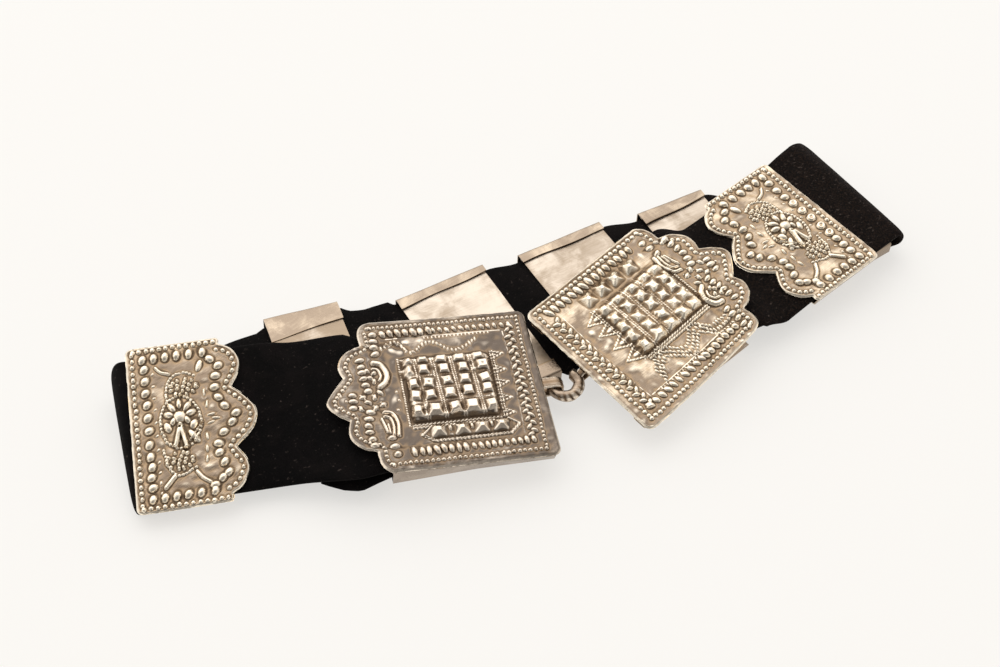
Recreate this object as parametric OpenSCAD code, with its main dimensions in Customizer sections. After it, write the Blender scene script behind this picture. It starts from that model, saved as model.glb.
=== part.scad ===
/* [Strap] */
// Width of the padded velvet strap
strap_w = 76.5; // [74:0.5:76.5]
// Thickness of the padded strap
strap_t = 4; // [3:0.5:4]

/* [Sheet silver] */
// Thickness of the decorated sheet and of its turned-under edges
sheet_t = 0.8; // [0.6:0.1:1]
// Thickness of the plain backing sheet
backing_t = 0.6; // [0.4:0.1:0.6]
// Gap between neighbouring pieces
gap = 0.3; // [0.2:0.05:0.3]

/* [Buckle plates] */
// Length of the straight part of a buckle plate, along the strap
buckle_l = 80; // [78:1:82]
// Height of a buckle plate, across the strap
buckle_h = 85; // [84:0.5:86]
// Depth of the rim that is turned down along the clasp edge
buckle_rim = 2.5; // [2:0.5:2.5]
// Angle by which the face of a buckle plate rises off the strap towards its scalloped end
buckle_lift = 2.4; // [2:0.1:2.6]
// How much deeper the side walls get towards the scalloped end
buckle_flare = 3.4; // [3:0.1:3.6]
// Height of the raised square boss
boss_rise = 4; // [3:0.5:4]
// Height of each pyramid on the boss
pyramid_rise = 1.8; // [1:0.2:2]

/* [Small plates] */
// Length of the straight part of a small scalloped plate
small_l = 45; // [44:0.5:46]
// Height of a small scalloped plate
small_h = 82.5; // [80.5:0.5:84]
// Height of the wraps on the back of the belt
wrap_h = 80; // [79:0.5:81]

/* [Clasp] */
// Middle radius of the clasp ring
ring_r = 7.3; // [7.2:0.1:7.4]
// Thickness of the ring's wire
ring_wire = 4.4; // [4:0.1:4.4]
// Width of the strip that makes the left eye
left_eye_w = 6; // [5:0.5:6]
// Width of the strip that makes the right eye
right_eye_w = 4; // [3:0.5:4]

/* [Hidden] */

// Curves of this many sides are true arcs
smooth = 48;
// The belt is moved by this much, so that its box is centred over the origin
centre_shift = [-12.3, -3.9, 0];

// Layers of a wrap, measured from the middle of the strap
sheet_in = strap_t / 2 + gap;
face_z = sheet_in + sheet_t;
backing_in = -strap_t / 2 - gap;
backing_out = backing_in - backing_t;
flap_in = backing_out - gap / 2;
flap_out = flap_in - sheet_t;
// The backing sheet ends this far inside the wrap's ends and walls
backing_inset = 1;

// Where each wrap holds the strap flat. The place is the middle of the strap at the
// wrap's clasp edge, straight edge or left end, then come heading, pitch and roll.
X = 0;
Y = 1;
Z = 2;
HEADING = 3;
PITCH = 4;
ROLL = 5;
//               x,      y,     z,  heading, pitch, roll
left_buckle  = [  19.5, -43.5, 14.7, 11.0,  1.6,  2.5];
right_buckle = [  42.5, -36.5, 14.7, 44.0, -2.1,  5.5];
left_plate   = [-174.0, -75.8, 14.8, 10.5, -1.0, 12.0];
right_plate  = [ 169.0,  71.5, 16.9, 40.0, -3.5,  1.0];
wrap_1       = [-106.0, -38.2,  7.6, 21.5,  3.3, -1.0];
wrap_2       = [ -33.5, -22.0,  6.6, 30.5,  1.0,  0.0];
wrap_3       = [  29.5,   9.8,  7.5, 31.0,  1.6, -1.0];
wrap_4       = [  93.0,  40.7,  6.9, 29.5,  2.0, -1.0];
wrap_5       = [ 147.0,  64.0,  6.2, 35.0,  0.0,  0.0];
// The strap comes down on the table below the left plate's edge, pressed thinner, and
// goes on at this heading
landed_t = 2.6;
landed_heading = 28;
landed_run = 18;

// Lengths of the back wraps, and how wide their far flaps are at the left and right ends
wrap_l = [39, 51, 50.5, 40.5, 45];
far_flap_left = [16, 6.5, 5.5, 9, 8];
far_flap_right = [11.5, 4.5, 5.5, 5, 8];
near_flap = 8;

// The strap starts and ends this far inside the clasp edges
strap_end = 6;
// Bulge of the left fold at its far and near edge, and of the right fold
left_fold_far = 7;
left_fold_near = 3;
right_fold_bulge = 6;
right_fold_start = 20;
fold_steps = 12;
bend_steps = 5;
// Chamfer along the strap's long edges
strap_edge = 1.1;

// The turned-back end of the strap lies below the strap in the left buckle and comes out.
// It is pressed thin where the side walls don't flare yet.
tail_t = 2.4;
tail_pressed = 0.4;
tail_inset = 1.2;
tail_start = 44;
tail_full = 78;
// The buckles' side walls are even up to here, and then flare
flare_start = 38;
wall_start = 2;

// The turned-under side flaps of the front plates
front_flap = 10;
// The small plates' side walls lean in by this much towards the back
wall_lean = 1.8;
// Corner radii
buckle_corner = 4;
small_corner = 3;

// Lobes of the scalloped ends: along the strap, across it, radius
buckle_corner_lobe = [76.5, buckle_h / 2 - 9, 9];
buckle_shoulder_lobe = [85.3, 19, 11.5];
buckle_centre_lobe = [91, 0, 12.6];
buckle_tip = 104.5;
small_side_lobe = [40.5, 27.5, 13.2];
small_centre_lobe = [42, 0, 17.4];

function rot_x(v, a) = [v[0], v[1] * cos(a) - v[2] * sin(a), v[1] * sin(a) + v[2] * cos(a)];
function rot_y(v, a) = [v[0] * cos(a) + v[2] * sin(a), v[1], -v[0] * sin(a) + v[2] * cos(a)];
function rot_z(v, a) = [v[0] * cos(a) - v[1] * sin(a), v[0] * sin(a) + v[1] * cos(a), v[2]];
function turned(pose, v) = rot_z(rot_y(rot_x(v, pose[ROLL]), pose[PITCH]), pose[HEADING]);
function placed(pose, v) = [pose[X], pose[Y], pose[Z]] + turned(pose, v);
function unit(v) = v / norm(v);

// A strap section is its far edge point, its near edge point, its direction of travel
// and its thickness
function section(pose, x, travel, thick = strap_t) = [
  placed(pose, [x, strap_w / 2, 0]),
  placed(pose, [x, -strap_w / 2, 0]),
  travel * turned(pose, [1, 0, 0]),
  thick
];

// A smooth stretch between two sections, without its end points
function hermite(p, u, q, v, t) =
  let (reach = norm(q - p))
  (2 * t * t * t - 3 * t * t + 1) * p + (t * t * t - 2 * t * t + t) * reach * u
  + (3 * t * t - 2 * t * t * t) * q + (t * t * t - t * t) * reach * v;
function bend(s, e) = [
  for (i = [1 : bend_steps - 1])
    let (t = i / bend_steps)
    [
      hermite(s[0], s[2], e[0], e[2], t),
      hermite(s[1], s[2], e[1], e[2], t),
      unit(s[2] + e[2]),
      s[3] * (1 - t) + e[3] * t
    ]
];

// A fold: each edge of the strap goes round a half ellipse, out by its own bulge
function fold_point(p, q, out_p, out_q, bulge, t) =
  (p + q) / 2 + (p - q) / 2 * cos(180 * t)
  + bulge * sin(180 * t) * unit(out_p * (1 - t) + out_q * t);
function fold(s, e, far_bulge, near_bulge) = [
  for (i = [1 : fold_steps - 1])
    let (t = i / fold_steps)
    [
      fold_point(s[0], e[0], s[2], -e[2], far_bulge, t),
      fold_point(s[1], e[1], s[2], -e[2], near_bulge, t),
      s[2] * (1 - t) + e[2] * t,
      s[3] * (1 - t) + e[3] * t
    ]
];

// A stretch that a wrap holds flat, with a section a little inside each end
hold = 1.5;
function held(pose, x0, x1, travel) = [
  for (x = [x0, x0 + travel * hold, x1 - travel * hold, x1]) section(pose, x, travel)
];

// The whole way of the strap, from the left buckle round the back to the right buckle
in_left_buckle = held(left_buckle, -strap_end, -88, -1);
in_left_plate = held(left_plate, 61, 0, -1);
landed_way = [cos(landed_heading), sin(landed_heading), 0];
function on_table(p, run) = [p[0], p[1], landed_t / 2] + run * landed_way;
landed = [
  for (run = [0, landed_run])
    [on_table(in_left_plate[3][0], run), on_table(in_left_plate[3][1], run), landed_way, landed_t]
];
wrap_poses = [wrap_1, wrap_2, wrap_3, wrap_4, wrap_5];
in_wrap = [for (i = [0 : 4]) held(wrap_poses[i], -hold, wrap_l[i] + hold, 1)];
in_right_plate = held(right_plate, right_fold_start, -61, -1);
in_right_buckle = held(right_buckle, 88, strap_end, -1);

sections = concat(
  in_left_buckle, bend(in_left_buckle[3], in_left_plate[0]),
  in_left_plate, fold(in_left_plate[3], landed[0], left_fold_far, left_fold_near),
  landed, bend(landed[1], in_wrap[0][0]),
  in_wrap[0], bend(in_wrap[0][3], in_wrap[1][0]),
  in_wrap[1], bend(in_wrap[1][3], in_wrap[2][0]),
  in_wrap[2], bend(in_wrap[2][3], in_wrap[3][0]),
  in_wrap[3], bend(in_wrap[3][3], in_wrap[4][0]),
  in_wrap[4], fold(in_wrap[4][3], in_right_plate[0], right_fold_bulge, right_fold_bulge),
  in_right_plate, bend(in_right_plate[3], in_right_buckle[0]),
  in_right_buckle
);

// A ring of points round the strap. The profile is its far edge, from the upper face to
// the lower one: across, then along the strap's normal.
function ring_points(s, ahead, profile) =
  let (across = unit(s[0] - s[1]), up = unit(cross(across, ahead)), n = len(profile))
  concat(
    [for (p = profile) s[0] + p[0] * across + p[1] * up],
    [for (k = [n - 1 : -1 : 0]) s[1] - profile[k][0] * across + profile[k][1] * up]
  );

// A closed band through rings of equally many points. Its faces are split along one
// diagonal or the other, so that two twisted bands can lie close together.
module band(rings, other_way = false) {
  n = len(rings[0]);
  last = len(rings) - 1;
  sides = [
    for (i = [0 : last - 1]) for (k = [0 : n - 1])
      let (a = i * n + k, b = i * n + (k + 1) % n)
      for (f = other_way ? [[a, b, a + n], [b, b + n, a + n]] : [[a, b, b + n], [a, b + n, a + n]]) f
  ];
  start_cap = [[for (k = [n - 1 : -1 : 0]) k]];
  end_cap = [[for (k = [0 : n - 1]) last * n + k]];
  color("#1b1614") translate(centre_shift)
    polyhedron([for (r = rings) for (p = r) p], concat(sides, start_cap, end_cap));
}

middle = [for (s = sections) (s[0] + s[1]) / 2];
function travel_at(i) = middle[min(i + 1, len(middle) - 1)] - middle[max(i - 1, 0)];

function strap_profile(t) = [
  [-strap_edge, t / 2], [0, t / 2 - strap_edge], [0, strap_edge - t / 2], [-strap_edge, -t / 2]
];
module strap() {
  band([
    for (i = [0 : len(sections) - 1])
      ring_points(sections[i], travel_at(i), strap_profile(sections[i][3]))
  ]);
}

// The turned-back end: pressed thin inside the buckle, then under the strap's free stretch
function tail_profile(top, t) = [[-tail_inset, top], [-tail_inset, top - t]];
module strap_tail() {
  way = turned(left_buckle, [-1, 0, 0]);
  top = backing_in + gap / 2;
  free = len(in_left_buckle);
  band([
    ring_points(section(left_buckle, -tail_start, -1), way, tail_profile(top, tail_pressed)),
    ring_points(section(left_buckle, -tail_full, -1), way, tail_profile(top, tail_t)),
    ring_points(sections[free - 1], travel_at(free - 1), tail_profile(top, tail_t)),
    ring_points(sections[free], travel_at(free), tail_profile(top - gap, tail_t - gap)),
    ring_points(sections[free + 1], travel_at(free + 1), tail_profile(top - gap, tail_pressed * 2))
  ], other_way = true);
}

// A strip of even thickness below a line of points, in the plane of the sheet
module ribbon(line, thick) {
  polygon(concat(line, [for (i = [len(line) - 1 : -1 : 0]) line[i] - [0, thick]]));
}

// Puts a piece at a wrap's place on the strap
module at(pose) {
  translate(centre_shift) translate([pose[X], pose[Y], pose[Z]])
    rotate([pose[ROLL], pose[PITCH], pose[HEADING]]) children();
}

// A rectangle from x = 0, with its two corners at x = 0 rounded
module rounded_start(length, height, r) {
  translate([r, -height / 2]) square([length - r, height]);
  translate([0, -height / 2 + r]) square([length, height - 2 * r]);
  for (side = [-1, 1]) translate([r, side * (height / 2 - r)]) circle(r, $fn = smooth);
}

module lobe(place) {
  for (side = [-1, 1]) translate([place[0], side * place[1]]) circle(place[2], $fn = smooth);
}

module buckle_outline() {
  rounded_start(buckle_corner_lobe[0], buckle_h, buckle_corner);
  translate([0, -29]) square([84, 58]);
  lobe(buckle_corner_lobe);
  lobe(buckle_shoulder_lobe);
  lobe(buckle_centre_lobe);
  polygon([[97, -9], [buckle_tip, 0], [97, 9], [84, 0]]);
}

module small_outline() {
  rounded_start(small_l, small_h, small_corner);
  lobe(small_side_lobe);
  lobe(small_centre_lobe);
}

// Upright side walls of a back wrap, for a strap that lies along x
module side_walls(x0, x1, height) {
  for (side = [-1, 1]) translate([x0, side * (height / 2 - sheet_t / 2) - sheet_t / 2, flap_out])
    cube([x1 - x0, sheet_t, face_z - flap_out]);
}

// Side walls that lean in towards the back, with flaps that start a little further in
module leaning_sides(x0, x1, flap_x0, height) {
  out = height / 2;
  foot = out - wall_lean;
  for (side = [0, 1]) mirror([0, side, 0]) {
    translate([x0, 0, 0]) rotate([90, 0, 90]) linear_extrude(x1 - x0)
      polygon([[out, face_z], [foot, flap_out], [foot - sheet_t, flap_out], [out - sheet_t, face_z]]);
    translate([flap_x0, foot - front_flap, flap_out]) cube([x1 - flap_x0, front_flap, sheet_t]);
  }
}

// Where the underside of a buckle's layer runs, level and then flaring down
function flared(x0, x1, z) = [[x0, z], [flare_start, z], [x1, z - buckle_flare]];

// A buckle's side walls, from the lifted face down to the flared flaps, and the flaps
module buckle_sides() {
  x1 = buckle_l - 2;
  floor_line = flared(wall_start + 14, x1, flap_out);
  rise = tan(buckle_lift);
  for (side = [-1, 1]) {
    translate([0, side * (buckle_h - sheet_t) / 2 + sheet_t / 2, 0]) rotate([90, 0, 0])
      linear_extrude(sheet_t) polygon(concat(
        [[x1, face_z + x1 * rise], [wall_start, face_z + wall_start * rise], [wall_start, face_z - 4]],
        floor_line
      ));
    translate([0, side * (buckle_h - front_flap) / 2 + front_flap / 2, 0]) rotate([90, 0, 0])
      linear_extrude(front_flap) ribbon([for (p = floor_line) p + [0, sheet_t]], sheet_t);
  }
}

// A buckle's backing sheet, which follows the flare
module buckle_backing() {
  inner = buckle_h - 2 * sheet_t - 2 * backing_inset;
  translate([0, inner / 2, 0]) rotate([90, 0, 0]) linear_extrude(inner)
    ribbon(flared(wall_start + 15, buckle_l - 3, backing_in), backing_t);
}

// A flap as a strip whose inner edge may run askew, on the side given by its sign
module flap(x0, x1, height, side, width_0, width_1) {
  edge = side * height / 2;
  translate([0, 0, flap_out]) linear_extrude(sheet_t)
    polygon([[x0, edge], [x1, edge], [x1, edge - side * width_1], [x0, edge - side * width_0]]);
}

// A plain backing sheet that lies inside the walls
module backing(x0, x1, height) {
  inner = height - 2 * sheet_t - 2 * backing_inset;
  translate([x0 + backing_inset, -inner / 2, backing_out])
    cube([x1 - x0 - 2 * backing_inset, inner, backing_t]);
}

// A round bead, half sunk in the face and cut off inside the sheet
module bead(x, y, r, lift = 0) {
  translate([x, y, face_z]) intersection() {
    translate([0, 0, lift]) sphere(r, $fn = smooth);
    translate([-r, -r, -sheet_t / 2]) cube([2 * r, 2 * r, 2 * r + lift]);
  }
}

// A row of beads between two points, as near to the pitch as fits
module bead_row(from, to, pitch, r) {
  n = round(norm(to - from) / pitch);
  for (i = [0 : n]) bead((from + (to - from) * i / n)[0], (from + (to - from) * i / n)[1], r);
}

// Beads along a lobe, inside its outline, between two angles
module bead_arc(place, inset, start, end, pitch, r) {
  radius = place[2] - inset;
  n = round(radius * abs(end - start) * PI / 180 / pitch);
  for (i = [0 : n])
    let (t = start + (end - start) * i / n)
    bead(place[0] + radius * cos(t), place[1] + radius * sin(t), r);
}

// A truncated pyramid on a square foot
module pyramid(x, y, z, foot, rise) {
  translate([x, y, z]) rotate([0, 0, 45])
    cylinder(h = rise, r1 = foot / sqrt(2), r2 = foot / sqrt(2) * 0.45, $fn = 4);
}

// A pointed leaf: three corners, raised from the face
module leaf(x, y, length, width, turn, rise) {
  translate([x, y, face_z - 0.1]) rotate([0, 0, turn]) linear_extrude(rise + 0.1)
    polygon([[0, -width / 2], [length, 0], [0, width / 2]]);
}

// A curl: a round eye and a beak, like a paisley
module curl(x, y, side) {
  translate([x, y, face_z - 0.1]) cylinder(h = 1.6, r = 4, $fn = smooth);
  translate([x - 3, y - side * 6, face_z - 0.1]) cylinder(h = 1.3, r = 3, $fn = smooth);
  leaf(x + 2, y + side * 1.5, 9, 5, side * 40, 1.2);
}

// The raised work of a buckle plate
module buckle_relief() {
  border = buckle_h / 2 - 6.5;
  bead_row([8.5, border], [76, border], 4.7, 1.8);
  bead_row([8.5, -border - 0.5], [76, -border - 0.5], 4.7, 1.8);
  bead_row([8.5, -border + 6], [8.5, border - 6], 4.6, 1.8);
  for (side = [-1, 1]) {
    bead_arc([85.3, side * 19, 11.5], 6, -side * 40, side * 70, 4.6, 1.5);
    bead_arc([76.5, side * (buckle_h / 2 - 9), 9], 6, -side * 20, side * 60, 4.6, 1.2);
  }
  bead_arc(buckle_centre_lobe, 6, -60, 60, 4.6, 1.5);
  translate([25, -18, face_z - 0.1]) cube([43, 36, boss_rise + 0.1]);
  for (i = [0 : 4]) for (k = [-2 : 2])
    pyramid(28.8 + i * 8.9, k * 6.9, face_z + boss_rise - 0.1, 6, pyramid_rise);
  translate([22, -27, face_z - 0.1]) cube([38, 7, 2]);
  for (i = [0 : 3]) pyramid(26.5 + i * 9.5, -23.5, face_z + 1.8, 6, pyramid_rise - 0.6);
  for (k = [-2 : 2]) leaf(23, k * 7.5, -8, 6, 0, 1.2);
  curl(77, 13, 1);
  curl(77, -16, -1);
}

// The raised work of a small plate
module small_relief() {
  border = small_h / 2 - 5.5;
  bead_row([7.8, border], [42, border], 5.8, 2);
  bead_row([7.8, -border], [42, -border], 5.8, 2);
  bead_row([7.8, -border + 5.6], [7.8, border - 5.6], 5.8, 2);
  for (side = [-1, 1]) bead_arc([40.5, side * 27.5, 13.2], 5.6, -side * 30, side * 50, 5.4, 1.8);
  bead_arc(small_centre_lobe, 5.6, -50, 50, 5.4, 1.8);
  translate([23, 0, face_z - 0.1]) cylinder(h = 1.6, r = 11, $fn = smooth);
  for (k = [0 : 7]) bead(23 + 5.5 * cos(k * 45 + 20), 5.5 * sin(k * 45 + 20), 2.4, 1.2);
  for (side = [-1, 1]) {
    translate([24, side * 19, face_z - 0.1]) cylinder(h = 1.4, r = 6.5, $fn = smooth);
    bead(24, side * 19, 3);
    leaf(15, side * 28, 7, 4, side * 30, 1.2);
    leaf(33, side * 27, 7, 4, -side * 20, 1.2);
  }
}

module buckle_front() {
  translate([0, 0, face_z]) rotate([0, -buckle_lift, 0]) translate([0, 0, -face_z]) {
    translate([0, 0, face_z - sheet_t]) linear_extrude(sheet_t) buckle_outline();
    translate([0, -buckle_h / 2 + buckle_corner, face_z - buckle_rim])
      cube([sheet_t, buckle_h - 2 * buckle_corner, buckle_rim]);
    buckle_relief();
  }
  buckle_sides();
}

module small_front() {
  translate([0, 0, face_z - sheet_t]) linear_extrude(sheet_t) small_outline();
  leaning_sides(1, small_l - 2, 12, small_h);
  small_relief();
}

// A back wrap: its worked face looks down and its flaps show on top
module wrap_front(i) {
  long = wrap_l[i];
  rotate([180, 0, 0]) {
    translate([0, -wrap_h / 2, sheet_in]) cube([long, wrap_h, sheet_t]);
    side_walls(0, long, wrap_h);
    flap(0, long, wrap_h, -1, far_flap_left[i], far_flap_right[i]);
    flap(0, long, wrap_h, 1, near_flap, near_flap);
    for (side = [-1, 1]) {
      bead_row([4, side * (wrap_h / 2 - 4)], [long - 4, side * (wrap_h / 2 - 4)], 5.5, 1.2);
      bead_row([long / 2 + side * (long / 2 - 4), -wrap_h / 2 + 9.5],
               [long / 2 + side * (long / 2 - 4), wrap_h / 2 - 9.5], 5.5, 1.2);
      translate([long / 2, side * 20, face_z - 0.1]) cylinder(h = 1.3, r = 6, $fn = smooth);
    }
    translate([long / 2, 0, face_z - 0.1]) cylinder(h = 1.4, r = 10, $fn = smooth);
    translate([long / 2, 0, face_z]) cylinder(h = 2.5, r = 5, $fn = smooth);
  }
}

module wrap_back(i) {
  rotate([180, 0, 0]) backing(0, wrap_l[i], wrap_h);
}

// A closed loop of strip, seen from the side as a long oval, that holds the ring
eye_play = 1.4;
module eye(from, to, width, strip) {
  hole = ring_wire + eye_play;
  top = face_z - buckle_rim - gap;
  r = hole / 2 + strip;
  translate([0, width / 2, top - r]) rotate([90, 0, 0]) linear_extrude(width) difference() {
    union() {
      translate([from, -r]) square([to - from - r, 2 * r]);
      translate([to - r, 0]) circle(r, $fn = smooth);
    }
    translate([from + strip, -hole / 2]) square([to - from - r - strip, hole]);
    translate([to - r, 0]) circle(hole / 2, $fn = smooth);
  }
}

module left_buckle_front() { color("#8d8578") at(left_buckle) mirror([1, 0, 0]) buckle_front(); }
module left_buckle_back() {
  color("#c9bfb0") at(left_buckle) mirror([1, 0, 0]) buckle_backing();
}
module right_buckle_front() { color("#a3977f") at(right_buckle) mirror([0, 1, 0]) buckle_front(); }
module right_buckle_back() { color("#c9bfb0") at(right_buckle) buckle_backing(); }
module left_plate_front() { color("#b0a180") at(left_plate) small_front(); }
module left_plate_back() {
  color("#c9bfb0") at(left_plate) backing(1, small_l, small_h - 2 * wall_lean);
}
module right_plate_front() { color("#b0a180") at(right_plate) mirror([1, 0, 0]) small_front(); }
module right_plate_back() {
  color("#c9bfb0") at(right_plate) mirror([1, 0, 0])
    backing(1, small_l, small_h - 2 * wall_lean);
}
module back_wrap_front(i) { color("#bcae93") at(wrap_poses[i]) wrap_front(i); }
module back_wrap_back(i) { color("#d6cdbd") at(wrap_poses[i]) wrap_back(i); }

module left_eye() {
  color("#8f7f66") at(left_buckle) translate([0, 0.8, 0]) eye(-1.6, 12, left_eye_w, 1.6);
}

module right_eye() {
  color("#5a5148") at(right_buckle) translate([0, 2.5, 0]) mirror([1, 0, 0])
    eye(-3.5, 8.4, right_eye_w, 1.4);
}

// The ring hangs in both eyes, its near side a little lower
ring_centre = [32.8, -39.9, 10.5];
ring_dip = 7;
module clasp_ring() {
  color("#9a8a6e") translate(centre_shift) translate(ring_centre)
    rotate([ring_dip, 0, 0])
      rotate_extrude($fn = smooth) translate([ring_r, 0]) circle(ring_wire / 2, $fn = smooth);
}

strap();
strap_tail();
left_buckle_front();
left_buckle_back();
right_buckle_front();
right_buckle_back();
left_plate_front();
left_plate_back();
right_plate_front();
right_plate_back();
back_wrap_front(0);  // back_wrap_1_front
back_wrap_back(0);  // back_wrap_1_back
back_wrap_front(1);  // back_wrap_2_front
back_wrap_back(1);  // back_wrap_2_back
back_wrap_front(2);  // back_wrap_3_front
back_wrap_back(2);  // back_wrap_3_back
back_wrap_front(3);  // back_wrap_4_front
back_wrap_back(3);  // back_wrap_4_back
back_wrap_front(4);  // back_wrap_5_front
back_wrap_back(4);  // back_wrap_5_back
left_eye();
right_eye();
clasp_ring();
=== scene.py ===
"""The looks of a folk belt of silver plates on a padded velvet strap, lying folded on a pale table."""

import logging
import math
from collections.abc import Iterable, Iterator, Sequence
from dataclasses import dataclass, field, replace
from enum import Enum

import bmesh
import bpy
import numpy as np
from mathutils import Matrix, Vector

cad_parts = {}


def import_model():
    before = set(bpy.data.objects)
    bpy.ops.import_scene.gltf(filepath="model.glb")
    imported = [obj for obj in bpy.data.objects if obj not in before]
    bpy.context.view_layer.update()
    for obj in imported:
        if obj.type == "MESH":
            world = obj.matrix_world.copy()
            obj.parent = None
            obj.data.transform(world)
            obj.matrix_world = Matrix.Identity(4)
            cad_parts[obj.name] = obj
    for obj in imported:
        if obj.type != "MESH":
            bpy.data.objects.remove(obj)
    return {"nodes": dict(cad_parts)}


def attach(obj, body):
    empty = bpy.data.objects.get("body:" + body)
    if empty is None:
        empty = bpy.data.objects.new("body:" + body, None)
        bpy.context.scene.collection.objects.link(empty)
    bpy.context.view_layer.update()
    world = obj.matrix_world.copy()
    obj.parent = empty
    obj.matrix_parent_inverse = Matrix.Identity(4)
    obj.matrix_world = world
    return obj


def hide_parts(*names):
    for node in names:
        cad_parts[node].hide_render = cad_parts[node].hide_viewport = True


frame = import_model()

Array = np.ndarray
Sheet = bmesh.types.BMesh
Mesh = bpy.types.Mesh
Piece = bpy.types.Object
Material = bpy.types.Material
Socket = bpy.types.NodeSocket
Colour = tuple[float, float, float]
Point = tuple[float, float, float]
Spot = tuple[float, float]
Line = Sequence[Spot] | np.ndarray

LOG = logging.getLogger("belt")
MM = 0.001
BODY = "root"

# The belt is moved by this much, so that its box is centred over the origin, in mm
CENTRE_SHIFT = np.array([-12.3, -3.9, 0.0])
# Layers of a wrap, measured from the middle of the strap, in mm
FACE_Z = 3.1
BACKING_OUT = -2.9
FLAP_OUT = -3.85
# The thickness of the sheets of the side walls, the wraps and their backings, in mm
WALL_SHEET = 0.6
WRAP_SHEET = 0.48
BACKING_SHEET = 0.6
# The radius of a turned edge on a plate and on a wrap, in mm
PLATE_BEND = 0.9
WRAP_BEND = 0.95
# The power that gives a ridge its round top, and the share of it that a rope's twist cuts away
ROUND = 0.6
TWIST = 0.38
# Half the width of the groove beside raised work, in mm
GROOVE_HALF = 0.3
# How far from a plate's edge the distance to it is measured, in mm
EDGE_REACH = 8.0
# Over this length, in mm, and by this power, the reach of a face over its side walls changes
SPREAD_RUN = 80.0
SPREAD_POWER = 2.2


class Side(Enum):
    """The two long sides of a plate or wrap, as the belt lies."""

    FAR = 1
    NEAR = -1


class Hand(Enum):
    """How a plate's own pattern is laid on the belt: the signs of its length and its height."""

    AS_DRAWN = (1, 1)
    MIRRORED = (-1, 1)
    UPSIDE_DOWN = (1, -1)


@dataclass(frozen=True)
class Pose:
    """Where the strap is held flat: a point in mm and three turns in degrees.

    Attributes:
        x: The point's place along the belt.
        y: Its place from the near side to the far side.
        z: Its height.
        heading: The turn about the upright axis.
        pitch: The turn about the axis across the strap.
        roll: The turn about the axis along the strap.
    """

    x: float
    y: float
    z: float
    heading: float = 0.0
    pitch: float = 0.0
    roll: float = 0.0

    def turn(self) -> Array:
        """Works out the turn of roll, then pitch, then heading.

        Returns:
            A 3 by 3 matrix.
        """
        h, p, r = np.radians([self.heading, self.pitch, self.roll])
        about_z = np.array([[np.cos(h), -np.sin(h), 0], [np.sin(h), np.cos(h), 0], [0, 0, 1]])
        about_y = np.array([[np.cos(p), 0, np.sin(p)], [0, 1, 0], [-np.sin(p), 0, np.cos(p)]])
        about_x = np.array([[1, 0, 0], [0, np.cos(r), -np.sin(r)], [0, np.sin(r), np.cos(r)]])
        return about_z @ about_y @ about_x

    def place(self, points: Array) -> Array:
        """Moves points from the strap's own frame, in mm, to the belt's frame before its shift.

        Args:
            points: An array of points, or one point.

        Returns:
            The points where they lie, in mm.
        """
        return np.asarray(points) @ self.turn().T + np.array([self.x, self.y, self.z])


LEFT_BUCKLE = Pose(19.5, -43.5, 14.7, 11.0, 1.6, 2.5)
RIGHT_BUCKLE = Pose(42.5, -36.5, 14.7, 44.0, -2.1, 5.5)
LEFT_PLATE = Pose(-174.0, -75.8, 14.8, 10.5, -1.0, 12.0)
RIGHT_PLATE = Pose(169.0, 71.5, 16.9, 40.0, -3.5, 1.0)


def world(points: Array) -> Array:
    """Shifts points in mm to the belt's centred frame and turns them into metres."""
    return (points + CENTRE_SHIFT) * MM


def unit(vectors: Array) -> Array:
    """Scales one vector, or each row, to length one."""
    return vectors / np.linalg.norm(vectors, axis=-1, keepdims=True)


def smooth_curve(points: Line, steps: int = 8) -> Array:
    """Runs a smooth curve through points.

    Args:
        points: The points, in order.
        steps: How many short lines each stretch gets.

    Returns:
        The points of the curve.
    """
    p = np.array([points[0], *points, points[-1]], dtype=float)
    out = []
    for i in range(1, len(p) - 2):
        for t in np.arange(steps) / steps:
            out.append(0.5 * (2 * p[i] + (p[i + 1] - p[i - 1]) * t
                              + (2 * p[i - 1] - 5 * p[i] + 4 * p[i + 1] - p[i + 2]) * t * t
                              + (3 * p[i] - p[i - 1] - 3 * p[i + 1] + p[i + 2]) * t ** 3))
    return np.array([*out, p[-1]])


def walk(line: Line, pitch: float) -> Iterator[Point]:
    """Walks along a line in even steps, as near to the pitch as fits.

    Args:
        line: The line's points.
        pitch: The length of a step.

    Yields:
        Each stop's two coordinates and the line's direction there, in degrees.
    """
    p = np.asarray(line, dtype=float)
    gaps = np.linalg.norm(np.diff(p, axis=0), axis=1)
    run = np.concatenate([[0], np.cumsum(gaps)])
    count = max(round(run[-1] / pitch), 1)
    for s in np.linspace(0, run[-1], count + 1):
        i = min(max(int(np.searchsorted(run, s)) - 1, 0), len(gaps) - 1)
        way = p[i + 1] - p[i]
        a, c = p[i] + way * (s - run[i]) / max(gaps[i], 1e-9)
        yield float(a), float(c), math.degrees(math.atan2(way[1], way[0]))


def softened(field_of: Array, cells: float) -> Array:
    """Blurs an array.

    Args:
        field_of: The array.
        cells: The blur's reach, in cells.

    Returns:
        The blurred array.
    """
    reach = max(int(cells * 2.5), 1)
    taps = np.exp(-0.5 * (np.arange(-reach, reach + 1) / cells) ** 2)
    taps /= taps.sum()
    out = field_of
    for axis in (0, 1):
        pad = [(0, 0), (0, 0)]
        pad[axis] = (reach, reach)
        wide = np.pad(out, pad, mode="edge")
        length = out.shape[axis]
        out = sum(w * np.take(wide, np.arange(k, k + length), axis=axis) for k, w in enumerate(taps))
    return out


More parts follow.
